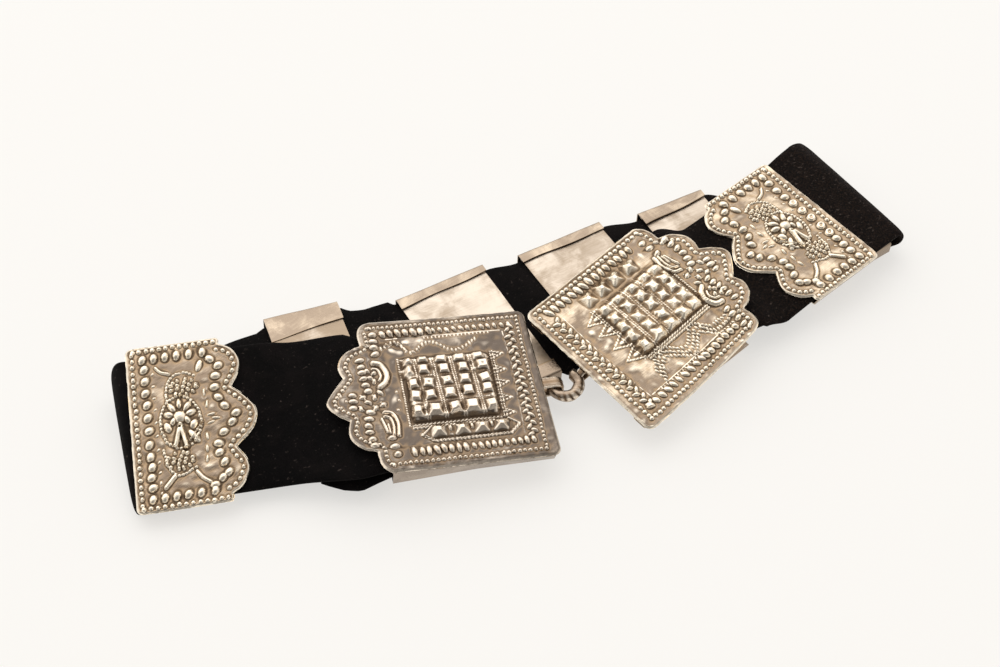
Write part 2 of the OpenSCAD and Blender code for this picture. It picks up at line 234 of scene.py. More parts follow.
def unevenness(a: Array, c: Array, size: float, seed: int) -> Array:
    """Makes gentle hills and hollows, as hand-beaten sheet has them.

    Args:
        a: First coordinates, in mm.
        c: Second coordinates, in mm.
        size: The rough width of a hill, in mm.
        seed: Chooses one of many patterns.

    Returns:
        Heights of about -1 to 1.
    """
    rng = np.random.default_rng(seed)
    total = np.zeros_like(a)
    for _ in range(9):
        angle, phase = rng.uniform(0, math.tau, 2)
        wave = size * rng.uniform(1.6, 3.4)
        total += np.sin((a * math.cos(angle) + c * math.sin(angle)) * math.tau / wave + phase)
    return total / 4.0


def turned(along: Array, across: Array, angle: float) -> tuple[Array, Array]:
    """Reads offsets in the frame of a shape that is turned by an angle in degrees."""
    cos, sin = math.cos(math.radians(angle)), math.sin(math.radians(angle))
    return along * cos + across * sin, across * cos - along * sin


class Relief:
    """Raised work over a grid of points, whose rows each have one height across the plate."""

    def __init__(self, a: Array, c: Array) -> None:
        """Starts a flat sheet.

        Args:
            a: Each point's place along the plate, in mm.
            c: Each point's place across it, in mm.
        """
        self.a = a
        self.c = c
        self.rows = c[:, 0]
        self.ground = np.zeros_like(a)
        self.cap = np.zeros_like(a)
        self.moat = np.zeros_like(a)

    def rows_near(self, low: float, high: float) -> slice:
        """Returns the rows between two heights across the plate."""
        first, last = np.searchsorted(self.rows, [low, high])
        return slice(int(first), int(last))

    def work(self, rows: slice, cap: Array, groove: Array | float = 0.0) -> None:
        """Raises these rows to new heights, with a groove beside what is raised."""
        self.cap[rows] = np.maximum(self.cap[rows], cap)
        self.moat[rows] = np.maximum(self.moat[rows], groove)

    def settle(self) -> None:
        """Makes what is raised so far the ground of the next work."""
        cover = np.clip(self.cap / 0.15, 0, 1)
        self.ground = self.ground + self.cap - self.moat * (1 - cover)
        self.cap = np.zeros_like(self.a)
        self.moat = np.zeros_like(self.a)

    def bead(self, a: float, c: float, long: float, wide: float | None = None, turn: float = 0.0,
             rise: float = 1.0, blunt: float = 0.6, groove: float = 0.13) -> None:
        """Raises a round or oval bead with a groove punched round it.

        Args:
            a: Its middle along the plate.
            c: Its middle across the plate.
            long: Half its length.
            wide: Half its width, or None for a round one.
            turn: The direction of its length, in degrees.
            rise: Its height.
            blunt: How steep its sides are: the less, the steeper.
            groove: How deep the groove is.
        """
        wide = wide or long
        reach = max(long, wide) * 1.7
        rows = self.rows_near(c - reach, c + reach)
        u, v = turned(self.a[rows] - a, self.c[rows] - c, turn)
        q = (u / long) ** 2 + (v / wide) ** 2
        ring = groove * np.exp(-(((np.sqrt(q) - 1.2) * min(long, wide)) / GROOVE_HALF) ** 2)
        self.work(rows, rise * np.clip(1 - q, 0, None) ** blunt, ring)

    def ring(self, a: float, c: float, radius: float, wide: float, rise: float) -> None:
        """Raises a round ring, such as the lip of a hollow bead.

        Args:
            a: Its middle along the plate.
            c: Its middle across the plate.
            radius: From its middle to the top of its lip.
            wide: Half the lip's width.
            rise: Its height.
        """
        reach = radius + wide * 2
        rows = self.rows_near(c - reach, c + reach)
        away = (np.hypot(self.a[rows] - a, self.c[rows] - c) - radius) / wide
        self.work(rows, rise * np.clip(1 - away ** 2, 0, None) ** ROUND)

    def ridge(self, line: Line, wide: float, rise: float, pitch: float = 0.0,
              slant: float = 0.8, groove: float = 0.12) -> None:
        """Raises a ridge along a line, twisted like a rope if it has a pitch.

        Args:
            line: The line's points.
            wide: Half the ridge's width.
            rise: Its height.
            pitch: The length of one twist, or 0 for a plain ridge.
            slant: How far the strands lean.
            groove: How deep the grooves beside it are.
        """
        p = np.asarray(line, dtype=float)
        run = 0.0
        for start, end in zip(p[:-1], p[1:]):
            way = end - start
            length = float(np.hypot(*way))
            if length < 1e-6:
                continue
            reach = wide * 2.2
            rows = self.rows_near(min(start[1], end[1]) - reach, max(start[1], end[1]) + reach)
            da, dc = self.a[rows] - start[0], self.c[rows] - start[1]
            t = (da * way[0] + dc * way[1]) / length
            d = (dc * way[0] - da * way[1]) / length
            over = t - np.clip(t, 0, length)
            away = np.hypot(over, d) / wide
            cap = rise * np.clip(1 - away ** 2, 0, None) ** ROUND
            if pitch:
                cap *= 1 - TWIST + TWIST * np.cos(math.tau * (run + t + slant * d) / pitch)
            self.work(rows, cap, groove * np.exp(-((away - 1.25) / GROOVE_HALF) ** 2))
            run += length

    def pyramid(self, a: float, c: float, half: float, rise: float, top: float = 0.45,
                turn: float = 0.0, groove: float = 0.12, sag: float = 1.0, hollow: float = 0.2) -> None:
        """Raises a cut-off pyramid.

        Args:
            a: Its middle along the plate.
            c: Its middle across the plate.
            half: Half the side of its foot.
            rise: Its height.
            top: Its flat top's side, as a share of its foot's.
            turn: Its turn, in degrees.
            groove: How deep the groove round it is.
            sag: Above 1 its sides are hollow, like a tent's.
            hollow: How much its sides sink in between their edges.
        """
        reach = half * 2.0
        rows = self.rows_near(c - reach, c + reach)
        u, v = np.abs(turned(self.a[rows] - a, self.c[rows] - c, turn)) / half
        m = (u ** 7 + v ** 7) ** (1 / 7)
        slope = np.clip((1 - m) / (1 - top), 0, 1)
        face = 1 - (np.minimum(u, v) / np.maximum(np.maximum(u, v), 1e-6)) ** 2
        cap = rise * (slope ** sag - hollow * face * slope * (1 - slope))
        dip = 0.1 * rise * np.clip(1 - m / max(top, 0.05), 0, 1)
        self.work(rows, cap - dip, groove * np.exp(-((m - 1.12) * half / 0.35) ** 2))

    def plateau(self, low: Spot, high: Spot, rise: float, slope: float, corner: float = 2.0) -> None:
        """Raises a rounded rectangle with sloping sides in the ground itself.

        Args:
            low: The foot's lowest place along and across the plate.
            high: The foot's highest place.
            rise: The height.
            slope: How far the sides lean in.
            corner: The radius of the corners.
        """
        middle_a, middle_c = (low[0] + high[0]) / 2, (low[1] + high[1]) / 2
        half_a, half_c = (high[0] - low[0]) / 2 - corner, (high[1] - low[1]) / 2 - corner
        da = np.abs(self.a - middle_a) - half_a
        dc = np.abs(self.c - middle_c) - half_c
        away = np.hypot(np.clip(da, 0, None), np.clip(dc, 0, None)) + np.clip(np.maximum(da, dc), None, 0)
        t = np.clip((corner - away) / slope, 0, 1)
        self.ground += rise * t * t * (3 - 2 * t)

    def dent(self, a: float, c: float, long: float, wide: float, turn: float, depth: float) -> None:
        """Presses a soft hollow into the ground, or a swelling if its depth is below zero.

        Args:
            a: Its middle along the plate.
            c: Its middle across the plate.
            long: Half its length.
            wide: Half its width.
            turn: The direction of its length, in degrees.
            depth: How deep it is.
        """
        u, v = turned(self.a - a, self.c - c, turn)
        self.ground -= depth * np.exp(-((u / long) ** 2 + (v / wide) ** 2))

    def row(self, line: Line, pitch: float, long: float, wide: float, turn: float,
            rise: float, jitter: np.random.Generator, blunt: float = 0.6) -> None:
        """Sets a row of beads along a line.

        Args:
            line: The line's points.
            pitch: From bead to bead.
            long: Half a bead's length.
            wide: Half its width.
            turn: Its direction from the line's, in degrees.
            rise: Its height.
            jitter: Makes each bead a little different.
            blunt: How steep the beads' sides are.
        """
        for a, c, way in walk(line, pitch):
            size = jitter.uniform(0.88, 1.1)
            self.bead(a + jitter.normal(0, 0.12), c + jitter.normal(0, 0.12), long * size,
                      wide * jitter.uniform(0.88, 1.1), way + turn + jitter.normal(0, 7),
                      rise * jitter.uniform(0.75, 1.15), blunt)

    def hollows(self, height: Array, cell: float) -> tuple[Array, Array, Array]:
        """Finds where dirt stays and where hands rub.

        Args:
            height: The finished heights.
            cell: The grid's spacing in mm.

        Returns:
            Three arrays: how hollow and how proud each point is, and how low the ground round it is.
        """
        close = softened(height, 0.75 / cell) - height
        around = softened(height, 2.4 / cell) - height
        deep = np.clip(close * 1.7 + around * 0.3, -1, 1)
        low = np.clip(softened(height, 4.0 / cell) - height, -1, 1)
        return np.clip(deep, 0, 1), np.clip(-deep, 0, 1), low


@dataclass(frozen=True)
class Outline:
    """The edge of a plate: a rounded rectangle that ends in scallops.

    Attributes:
        half: Half the height across the strap, in mm.
        corner: The radius of the two corners at the straight edge.
        scallops: How far the plate reaches along the strap, from its far side to its near side.
        skew: How far the straight edge leans at the far corner and at the near one.
    """

    half: float
    corner: float
    scallops: Line
    skew: Spot = (0.0, 0.0)

    def lean(self, side: Side) -> float:
        """Returns how far the straight edge leans on this side of the pattern."""
        return self.skew[0] if side is Side.FAR else self.skew[1]

    def start(self, c: Array) -> Array:
        """Finds where the plate starts.

        Args:
            c: Places across the plate.

        Returns:
            The places along it.
        """
        past = np.clip(np.abs(c) - (self.half - self.corner), 0, self.corner)
        lean = np.interp(c, [-self.half, self.half], [self.skew[1], self.skew[0]])
        return self.corner - np.sqrt(np.clip(self.corner ** 2 - past ** 2, 0, None)) + lean

    def end(self, c: Array) -> Array:
        """Finds where the plate ends.

        Args:
            c: Places across the plate.

        Returns:
            The places along it.
        """
        curve = self.scallop_curve()
        order = np.argsort(curve[:, 0])
        return np.interp(c, curve[order, 0], curve[order, 1])

    def scallop_curve(self) -> Array:
        """Draws the scallops as a smooth curve with sharp notches.

        Returns:
            The curve's points, across and along.
        """
        points = [tuple(p) for p in self.scallops]
        notch = [i for i in range(1, len(points) - 1)
                 if points[i][1] < points[i - 1][1] - 0.4 and points[i][1] < points[i + 1][1] - 0.1]
        cuts = [0, *notch, len(points) - 1]
        stretches = [smooth_curve(points[i:k + 1]) for i, k in zip(cuts[:-1], cuts[1:])]
        return np.concatenate(stretches)

    def loop(self) -> Array:
        """Draws the whole edge.

        Returns:
            Closely set points, along and across.
        """
        c = np.linspace(self.half, -self.half, 400)
        scallops = self.scallop_curve()[:, ::-1]
        far = np.linspace(self.start(c[:1])[0], scallops[0, 0], 120)
        near = np.linspace(scallops[-1, 0], self.start(c[-1:])[0], 120)
        return np.concatenate([
            np.stack([far, np.full_like(far, self.half)], 1), scallops,
            np.stack([near, np.full_like(near, -self.half)], 1),
            np.stack([self.start(c[::-1]), c[::-1]], 1),
        ])

    def depth_inside(self, a: Array, c: Array) -> Array:
        """Measures how far points are from the edge.

        Args:
            a: Their places along the plate.
            c: Their places across it.

        Returns:
            The distances, in mm.
        """
        loop = self.loop()
        flat_a, flat_c = a.ravel(), c.ravel()
        best = np.full(flat_a.shape, 1e9)
        for start, end in zip(loop, np.roll(loop, -1, axis=0)):
            way = end - start
            length = float(way @ way)
            if length < 1e-10:
                continue
            near = np.abs(flat_c - (start[1] + end[1]) / 2) < EDGE_REACH
            da, dc = flat_a[near] - start[0], flat_c[near] - start[1]
            t = np.clip((da * way[0] + dc * way[1]) / length, 0, 1)
            best[near] = np.minimum(best[near], np.hypot(da - t * way[0], dc - t * way[1]))
        return best.reshape(a.shape)

    def outward(self, points: Array) -> Array:
        """Finds the outward direction at points on the edge.

        Args:
            points: The points, along and across.

        Returns:
            A direction of length one for each.
        """
        loop = self.loop()
        ahead = np.roll(loop, -3, axis=0) - np.roll(loop, 3, axis=0)
        normals = unit(np.stack([-ahead[:, 1], ahead[:, 0]], 1) + 1e-9)
        nearest = np.argmin(((points[:, None, :] - loop[None]) ** 2).sum(2), axis=1)
        return normals[nearest]

    def inner_line(self, inset: float) -> Array:
        """Draws the scallops' edge again, further in.

        Args:
            inset: How far in, in mm.

        Returns:
            The line's points, along and across.
        """
        edge = self.scallop_curve()[:, ::-1]
        line = edge - self.outward(edge) * inset
        depth = self.depth_inside(line[:, :1], line[:, 1:])[:, 0]
        return line[depth > inset - 0.25]


BUCKLE_OUTLINE = Outline(42.5, 4.0, (
    (42.5, 78.0), (41.6, 81.2), (39.8, 83.4), (37.0, 84.5), (33.5, 84.8), (29.6, 84.4),
    (28.7, 87.2), (27.4, 90.0), (25.4, 92.8), (22.5, 95.0), (18.8, 96.2), (15.5, 95.8), (12.2, 94.4),
    (9.5, 97.0), (6.9, 99.4), (4.2, 101.6), (1.2, 103.6), (-1.2, 104.2), (-4.2, 103.2), (-7.2, 100.7),
    (-9.8, 97.6), (-11.9, 94.4), (-15.4, 95.4), (-18.7, 95.7), (-22.0, 95.0), (-25.0, 92.9),
    (-27.4, 90.4), (-28.9, 87.8), (-30.2, 83.8), (-33.0, 83.5), (-36.0, 83.0), (-39.0, 81.8),
    (-41.2, 79.8), (-42.5, 77.8),
))
SMALL_OUTLINE = Outline(41.25, 3.0, (
    (41.25, 43.2), (40.0, 44.2), (38.0, 44.1), (37.0, 46.4), (34.6, 50.0), (31.5, 52.2), (27.8, 53.4),
    (24.2, 52.9), (21.0, 51.6), (18.0, 49.8), (15.4, 48.0), (12.8, 51.2), (9.8, 54.1), (6.8, 56.6),
    (3.9, 58.4), (0.9, 59.0), (-2.6, 58.4), (-6.1, 56.9), (-9.5, 54.1), (-12.6, 50.6), (-15.0, 47.8),
    (-17.2, 49.4), (-20.2, 51.4), (-23.3, 52.6), (-26.6, 52.9), (-29.6, 52.0), (-32.8, 50.2),
    (-35.6, 47.4), (-37.4, 44.2), (-39.4, 44.2), (-41.25, 43.4),
))


def make_grid(columns: int, rows: int) -> Sheet:
    """Starts a flat sheet one unit wide and high.

    Args:
        columns: How many cells it has along its width.
        rows: How many it has along its height.

    Returns:
        The sheet, as a bmesh.
    """
    sheet = bmesh.new()
    bmesh.ops.create_grid(sheet, x_segments=columns, y_segments=rows, size=0.5)
    return sheet


def read(sheet: Sheet) -> Array:
    """Returns the places of all its vertices."""
    return np.array([v.co[:] for v in sheet.verts])


def write(sheet: Sheet, points: Array) -> None:
    """Moves all its vertices."""
    for vert, point in zip(sheet.verts, points.tolist()):
        vert.co = point


def note(sheet: Sheet, **layers: Array | float) -> None:
    """Keeps numbers on the vertices, where the finishes read them.

    Args:
        sheet: The bmesh.
        **layers: Under each name, a number for all vertices or one for each.
    """
    for name, values in layers.items():
        layer = sheet.verts.layers.float.get(name) or sheet.verts.layers.float.new(name)
        for vert, value in zip(sheet.verts, np.broadcast_to(values, len(sheet.verts)).tolist()):
            vert[layer] = value


def to_mesh(sheet: Sheet, name: str, crease: float = 50.0) -> Mesh:
    """Ends a bmesh and returns it as a smooth mesh with sharp creases.

    Args:
        sheet: The bmesh, which is freed.
        name: The mesh's name.
        crease: The angle from which an edge stays sharp, in degrees.

    Returns:
        The mesh.
    """
    mesh = bpy.data.meshes.new(name)
    sheet.to_mesh(mesh)
    sheet.free()
    mesh.shade_smooth()
    mesh.set_sharp_from_angle(angle=math.radians(crease))
    return mesh


def show(name: str, meshes: Sequence[Mesh], material: Material) -> Piece:
    """Joins meshes into one object in the scene.

    Args:
        name: The object's name.
        meshes: Its meshes.
        material: Its finish.

    Returns:
        The object.
    """
    objects = []
    for mesh in meshes:
        mesh.materials.clear()
        mesh.materials.append(material)
        part = bpy.data.objects.new(name, mesh)
        bpy.context.scene.collection.objects.link(part)
        objects.append(part)
    if len(objects) > 1:
        bpy.context.view_layer.update()
        with bpy.context.temp_override(active_object=objects[0], object=objects[0],
                                       selected_objects=objects, selected_editable_objects=objects):
            bpy.ops.object.join()
    return objects[0]


def put_on(piece: Piece, node: str) -> None:
    """Lets a piece ride on the belt in place of a solid.

    Args:
        piece: The piece.
        node: The solid that it stands for.
    """
    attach(piece, BODY)
    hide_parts(node)


def make_tube(rings: int, corners: int,
              closed: bool = False) -> tuple[Sheet, Array, Array]:
    """Starts a straight tube that is then bent to its path.

    Args:
        rings: How many rings it has, with one more for a closed one's seam.
        corners: How many points a ring has.
        closed: True for a loop, which has no end caps.

    Returns:
        The bmesh, and each vertex's ring and its place round the ring.
    """
    tube = bmesh.new()
    bmesh.ops.create_cone(tube, cap_ends=not closed, segments=corners, radius1=0.5, radius2=0.5, depth=1.0)
    along = [e for e in tube.edges if abs(e.verts[0].co.z - e.verts[1].co.z) > 0.5]
    bmesh.ops.subdivide_edges(tube, edges=along, cuts=rings - 2, use_grid_fill=True)
    points = read(tube)
    ring = np.rint((points[:, 2] + 0.5) * (rings - 1)).astype(int)
    angle = np.arctan2(points[:, 1], points[:, 0]) / math.tau
    place = np.rint(angle * corners - 0.001).astype(int) % corners
    return tube, ring, place


def close_up(solid: Sheet) -> None:
    """Joins a solid's seams and turns its faces outwards."""
    bmesh.ops.remove_doubles(solid, verts=solid.verts, dist=1e-7)
    bmesh.ops.recalc_face_normals(solid, faces=solid.faces)


class NodeTree:
    """Shader nodes and the links between them."""

    def __init__(self, tree: bpy.types.NodeTree) -> None:
        """Takes up a material's nodes, or the room's."""
        self.tree = tree

    def add(self, kind: str, **settings: object) -> bpy.types.Node:
        """Adds a node.

        Args:
            kind: The node's type.
            **settings: Its properties.

        Returns:
            The node.
        """
        node = self.tree.nodes.new(kind)
        for key, value in settings.items():
            setattr(node, key, value)
        return node

    def feed(self, socket: Socket, value: object) -> None:
        """Feeds a socket.

        Args:
            socket: The socket.
            value: Another socket to link it to, or a plain value.
        """
        if isinstance(value, Socket):
            self.tree.links.new(value, socket)
        else:
            socket.default_value = value

    def ranged(self, value: Socket, low: float, high: float, out_low: float = 0.0,
               out_high: float = 1.0) -> Socket:
        """Maps a value from one range to another, smoothly and within its ends.

        Args:
            value: The value.
            low: Where its range starts.
            high: Where its range ends.
            out_low: The result at the start.
            out_high: The result at the end.

        Returns:
            The new value.
        """
        node = self.add("ShaderNodeMapRange", interpolation_type="SMOOTHSTEP", clamp=True)
        self.feed(node.inputs["Value"], value)
        for key, number in {"From Min": low, "From Max": high, "To Min": out_low, "To Max": out_high}.items():
            node.inputs[key].default_value = number
        return node.outputs["Result"]

    def reckon(self, operation: str, one: object, two: object) -> Socket:
        """Works out one number from two.

        Args:
            operation: The name of the Math node's operation.
            one: The first number, or its socket.
            two: The second number, or its socket.

        Returns:
            The result.
        """
        node = self.add("ShaderNodeMath", operation=operation)
        self.feed(node.inputs[0], one)
        self.feed(node.inputs[1], two)
        return node.outputs[0]

    def plus(self, one: object, two: object) -> Socket:
        """Adds two numbers."""
        return self.reckon("ADD", one, two)

    def times(self, one: object, two: object) -> Socket:
        """Multiplies two numbers."""
        return self.reckon("MULTIPLY", one, two)

    def blend(self, share: object, one: object, two: object) -> Socket:
        """Mixes two colours.

        Args:
            share: The second one's share, from 0 to 1.
            one: The first colour, or its socket.
            two: The second colour, or its socket.

        Returns:
            The mixed colour.
        """
        node = self.add("ShaderNodeMix", data_type="RGBA")
        self.feed(node.inputs[0], share)
        for socket, value in ((node.inputs[6], one), (node.inputs[7], two)):
            self.feed(socket, value if isinstance(value, Socket) else (*value, 1.0))
        return node.outputs[2]


class Shader(NodeTree):
    """A material under construction, with one Principled shader."""

    def __init__(self, name: str) -> None:
        """Starts the material.

        Args:
            name: The material's name.
        """
        self.material = bpy.data.materials.new(name)
        self.material.use_nodes = True
        super().__init__(self.material.node_tree)
        self.surface = self.tree.nodes["Principled BSDF"]
        self.place = self.add("ShaderNodeTexCoord").outputs["Object"]

    def fix(self, values: dict[str, object]) -> None:
        """Sets the shader's own sockets to plain values."""
        for key, value in values.items():
            self.surface.inputs[key].default_value = value

    def noise(self, scale: float, detail: float = 3.0, rough: float = 0.5, twist: float = 0.0,
              where: Socket | None = None) -> Socket:
        """Adds noise.

        Args:
            scale: How many cells it has to a metre.
            detail: How many finer layers it has.
            rough: How strong the finer layers are.
            twist: How much it is distorted.
            where: The place that it reads, or None for the object's own.

        Returns:
            Its value, from 0 to 1.
        """
        node = self.add("ShaderNodeTexNoise")
        self.feed(node.inputs["Vector"], where or self.place)
        for key, value in {"Scale": scale, "Detail": detail, "Roughness": rough, "Distortion": twist}.items():
            node.inputs[key].default_value = value
        return node.outputs["Fac"]

    def stretched(self, scale: Point, turn: float = 0.0) -> Socket:
        """Squeezes the place along the axes, after a turn about the upright one.

        Args:
            scale: The factor along each axis.
            turn: The turn, in degrees.

        Returns:
            The new place.
        """
        spun = self.add("ShaderNodeMapping", vector_type="POINT")
        self.feed(spun.inputs["Vector"], self.place)
        spun.inputs["Rotation"].default_value = (0, 0, -math.radians(turn))
        squeezed = self.add("ShaderNodeMapping", vector_type="POINT")
        self.feed(squeezed.inputs["Vector"], spun.outputs["Vector"])
        squeezed.inputs["Scale"].default_value = scale
        return squeezed.outputs["Vector"]

    def kept(self, name: str) -> Socket:
        """Returns the number kept on the vertices under a name."""
        return self.add("ShaderNodeAttribute", attribute_name=name).outputs["Fac"]

    def bump(self, height: Socket, depth: float, strength: float = 1.0) -> None:
        """Roughens the surface.

        Args:
            height: The height that it follows.
            depth: How deep the roughness is, in metres.
            strength: How strongly it shows.
        """
        node = self.add("ShaderNodeBump")
        node.inputs["Strength"].default_value = strength
        node.inputs["Distance"].default_value = depth
        self.feed(node.inputs["Height"], height)
        self.feed(self.surface.inputs["Normal"], node.outputs["Normal"])


@dataclass(frozen=True)
class Silver:
    """An old silver finish.

    Attributes:
        name: The material's name.
        body: The colour of the clean sheet.
        stain: The colour of the sheet under its tarnish.
        amber: The warm tint that the tarnish has beside raised work.
        hollow: The colour of the dirt in the recesses, and of the painted shadow along the edges of the
            wraps' flaps.
        shine: The colour of rubbed high places, and of the painted highlight along the plates' rims.
        flap: The colour of the turned-over edges.
        rough: How matt the sheet is.
        clouds: How patchy the tarnish is, from 0 to 1.
        brushed: How deep the fine scratches are, in metres.
        heading: The direction of the scratches, in degrees.
    """

    name: str
    body: Colour
    stain: Colour
    amber: Colour
    hollow: Colour
    shine: Colour
    flap: Colour
    rough: float = 0.3
    clouds: float = 0.6
    brushed: float = 0.00002
    heading: float = 0.0

    def make(self) -> Material:
        """Makes the material.

        Returns:
            The material.
        """
        s = Shader(self.name)
        broad = s.noise(70.0, 5.0, 0.62, 0.6)
        grain = s.noise(900.0, 3.0, 0.6)
        speck = s.noise(2300.0, 1.0, 0.5)
        scratch = s.noise(1500.0, 2.0, 0.6, 0.0, s.stretched((0.06, 1.0, 1.0), self.heading))
        patch = s.ranged(broad, 0.33, 0.67, -self.clouds / 2, self.clouds / 2)
        tarnish = s.plus(s.kept("tarnish"), patch)
        tarnish = s.plus(tarnish, s.ranged(scratch, 0.3, 0.7, -0.08, 0.08))
        colour = s.blend(s.ranged(tarnish, 0.0, 1.0), self.body, self.stain)
        colour = s.blend(s.ranged(s.kept("flap"), 0.0, 1.0, 0.0, 0.8), colour, self.flap)
        # The hollow mask holds the patina in the recesses, and also the painted shadow along the wraps' flap
        # edges.
        hollow = s.kept("hollow")
        colour = s.blend(s.ranged(hollow, 0.02, 0.2, 0.0, 0.7), colour, self.amber)
        dirt_and_shadow = s.times(s.ranged(hollow, 0.08, 0.6), s.ranged(grain, 0.2, 0.6, 0.7, 1.0))
        colour = s.blend(dirt_and_shadow, colour, self.hollow)
        # The proud mask holds the rubbed high places, and also the painted highlight along the plates' rims.
        wear_and_sheen = s.times(s.ranged(s.kept("proud"), 0.01, 0.24), s.ranged(grain, 0.25, 0.6, 0.72, 1.0))
        colour = s.blend(wear_and_sheen, colour, self.shine)
        s.feed(s.surface.inputs["Base Color"], colour)
        s.fix({"Metallic": 1.0})
        rough = s.ranged(broad, 0.3, 0.7, self.rough - 0.04, self.rough + 0.07)
        rough = s.plus(rough, s.times(dirt_and_shadow, 0.2))
        rough = s.reckon("SUBTRACT", rough, s.times(wear_and_sheen, 0.07))
        s.feed(s.surface.inputs["Roughness"], rough)
        fine = s.plus(scratch, s.times(grain, 1.2))
        s.bump(s.plus(fine, s.times(speck, 0.35)), self.brushed * 2)
        return s.material


DARK_SILVER = Silver("dark_silver", (0.50, 0.42, 0.34), (0.125, 0.10, 0.082), (0.30, 0.21, 0.13),
                     (0.11, 0.077, 0.052), (0.88, 0.77, 0.64), (0.44, 0.35, 0.27), 0.22, 0.7, 0.00004, 11.0)
WORKED_SILVER = Silver("worked_silver", (0.74, 0.61, 0.46), (0.25, 0.19, 0.14), (0.40, 0.275, 0.16),
                       (0.13, 0.09, 0.058), (1.0, 0.90, 0.74), (0.44, 0.35, 0.27), 0.22, 0.7, 0.00004, 40.0)
PLAIN_SILVER = Silver("plain_silver", (0.66, 0.575, 0.485), (0.36, 0.28, 0.205), (0.5, 0.36, 0.22),
                      (0.20, 0.15, 0.10), (0.95, 0.88, 0.78), (0.50, 0.43, 0.35), 0.38, 0.5, 0.00003, 30.0)
CLASP_SILVER = Silver("clasp_silver", (0.44, 0.35, 0.27), (0.20, 0.145, 0.105), (0.30, 0.20, 0.12),
                      (0.05, 0.032, 0.02), (0.85, 0.74, 0.61), (0.5, 0.40, 0.30), 0.25, 0.6, 0.00005, 0.0)


@dataclass(frozen=True)
class Velvet:
    """A short black pile with some lint.

    Attributes:
        name: The material's name.
        pile: The colour of the pile.
        rubbed: Its colour where it is rubbed.
        painted_sheen: A lighter brown painted on the pile's tips, more towards the right fold, as painted
            sheen.
        lint: The colour of the lint.
        sheen: How strongly its tips catch light from the side.
    """

    name: str = "black_velvet"
    pile: Colour = (0.0012, 0.0008, 0.0009)
    rubbed: Colour = (0.0045, 0.003, 0.003)
    painted_sheen: Colour = (0.021, 0.012, 0.008)
    lint: Colour = (0.075, 0.058, 0.05)
    sheen: float = 0.04

    def make(self) -> Material:
        """Makes the material.

        Returns:
            The material.
        """
        s = Shader(self.name)
        broad = s.noise(55.0, 4.0, 0.6, 0.8)
        pile = s.noise(2600.0, 2.0, 0.6)
        fluff = s.noise(700.0, 2.0, 0.7, 0.6, s.stretched((0.6, 1.0, 1.0), 25.0))
        along = s.add("ShaderNodeSeparateXYZ")
        s.feed(along.inputs["Vector"], s.place)
        # Painted sheen: the pile is painted lighter brown in spots, more and more towards the right fold, and
        # its lint grows there too.
        wear_and_sheen = s.ranged(along.outputs["X"], 0.02, 0.17)
        colour = s.blend(s.ranged(broad, 0.4, 0.7), self.pile, self.rubbed)
        tips = s.ranged(s.noise(1100.0, 3.0, 0.7), 0.42, 0.7)
        colour = s.blend(s.times(wear_and_sheen, tips), colour, self.painted_sheen)
        fluff = s.plus(fluff, s.times(wear_and_sheen, 0.04))
        colour = s.blend(s.ranged(fluff, 0.635, 0.76, 0.0, 0.7), colour, self.lint)
        s.feed(s.surface.inputs["Base Color"], colour)
        s.fix({"Roughness": 0.95, "Specular IOR Level": 0.12, "Sheen Weight": self.sheen,
               "Sheen Roughness": 0.45, "Sheen Tint": (0.30, 0.25, 0.22, 1.0)})
        s.bump(s.plus(pile, s.times(broad, 2.0)), 0.0005, 0.8)
        return s.material


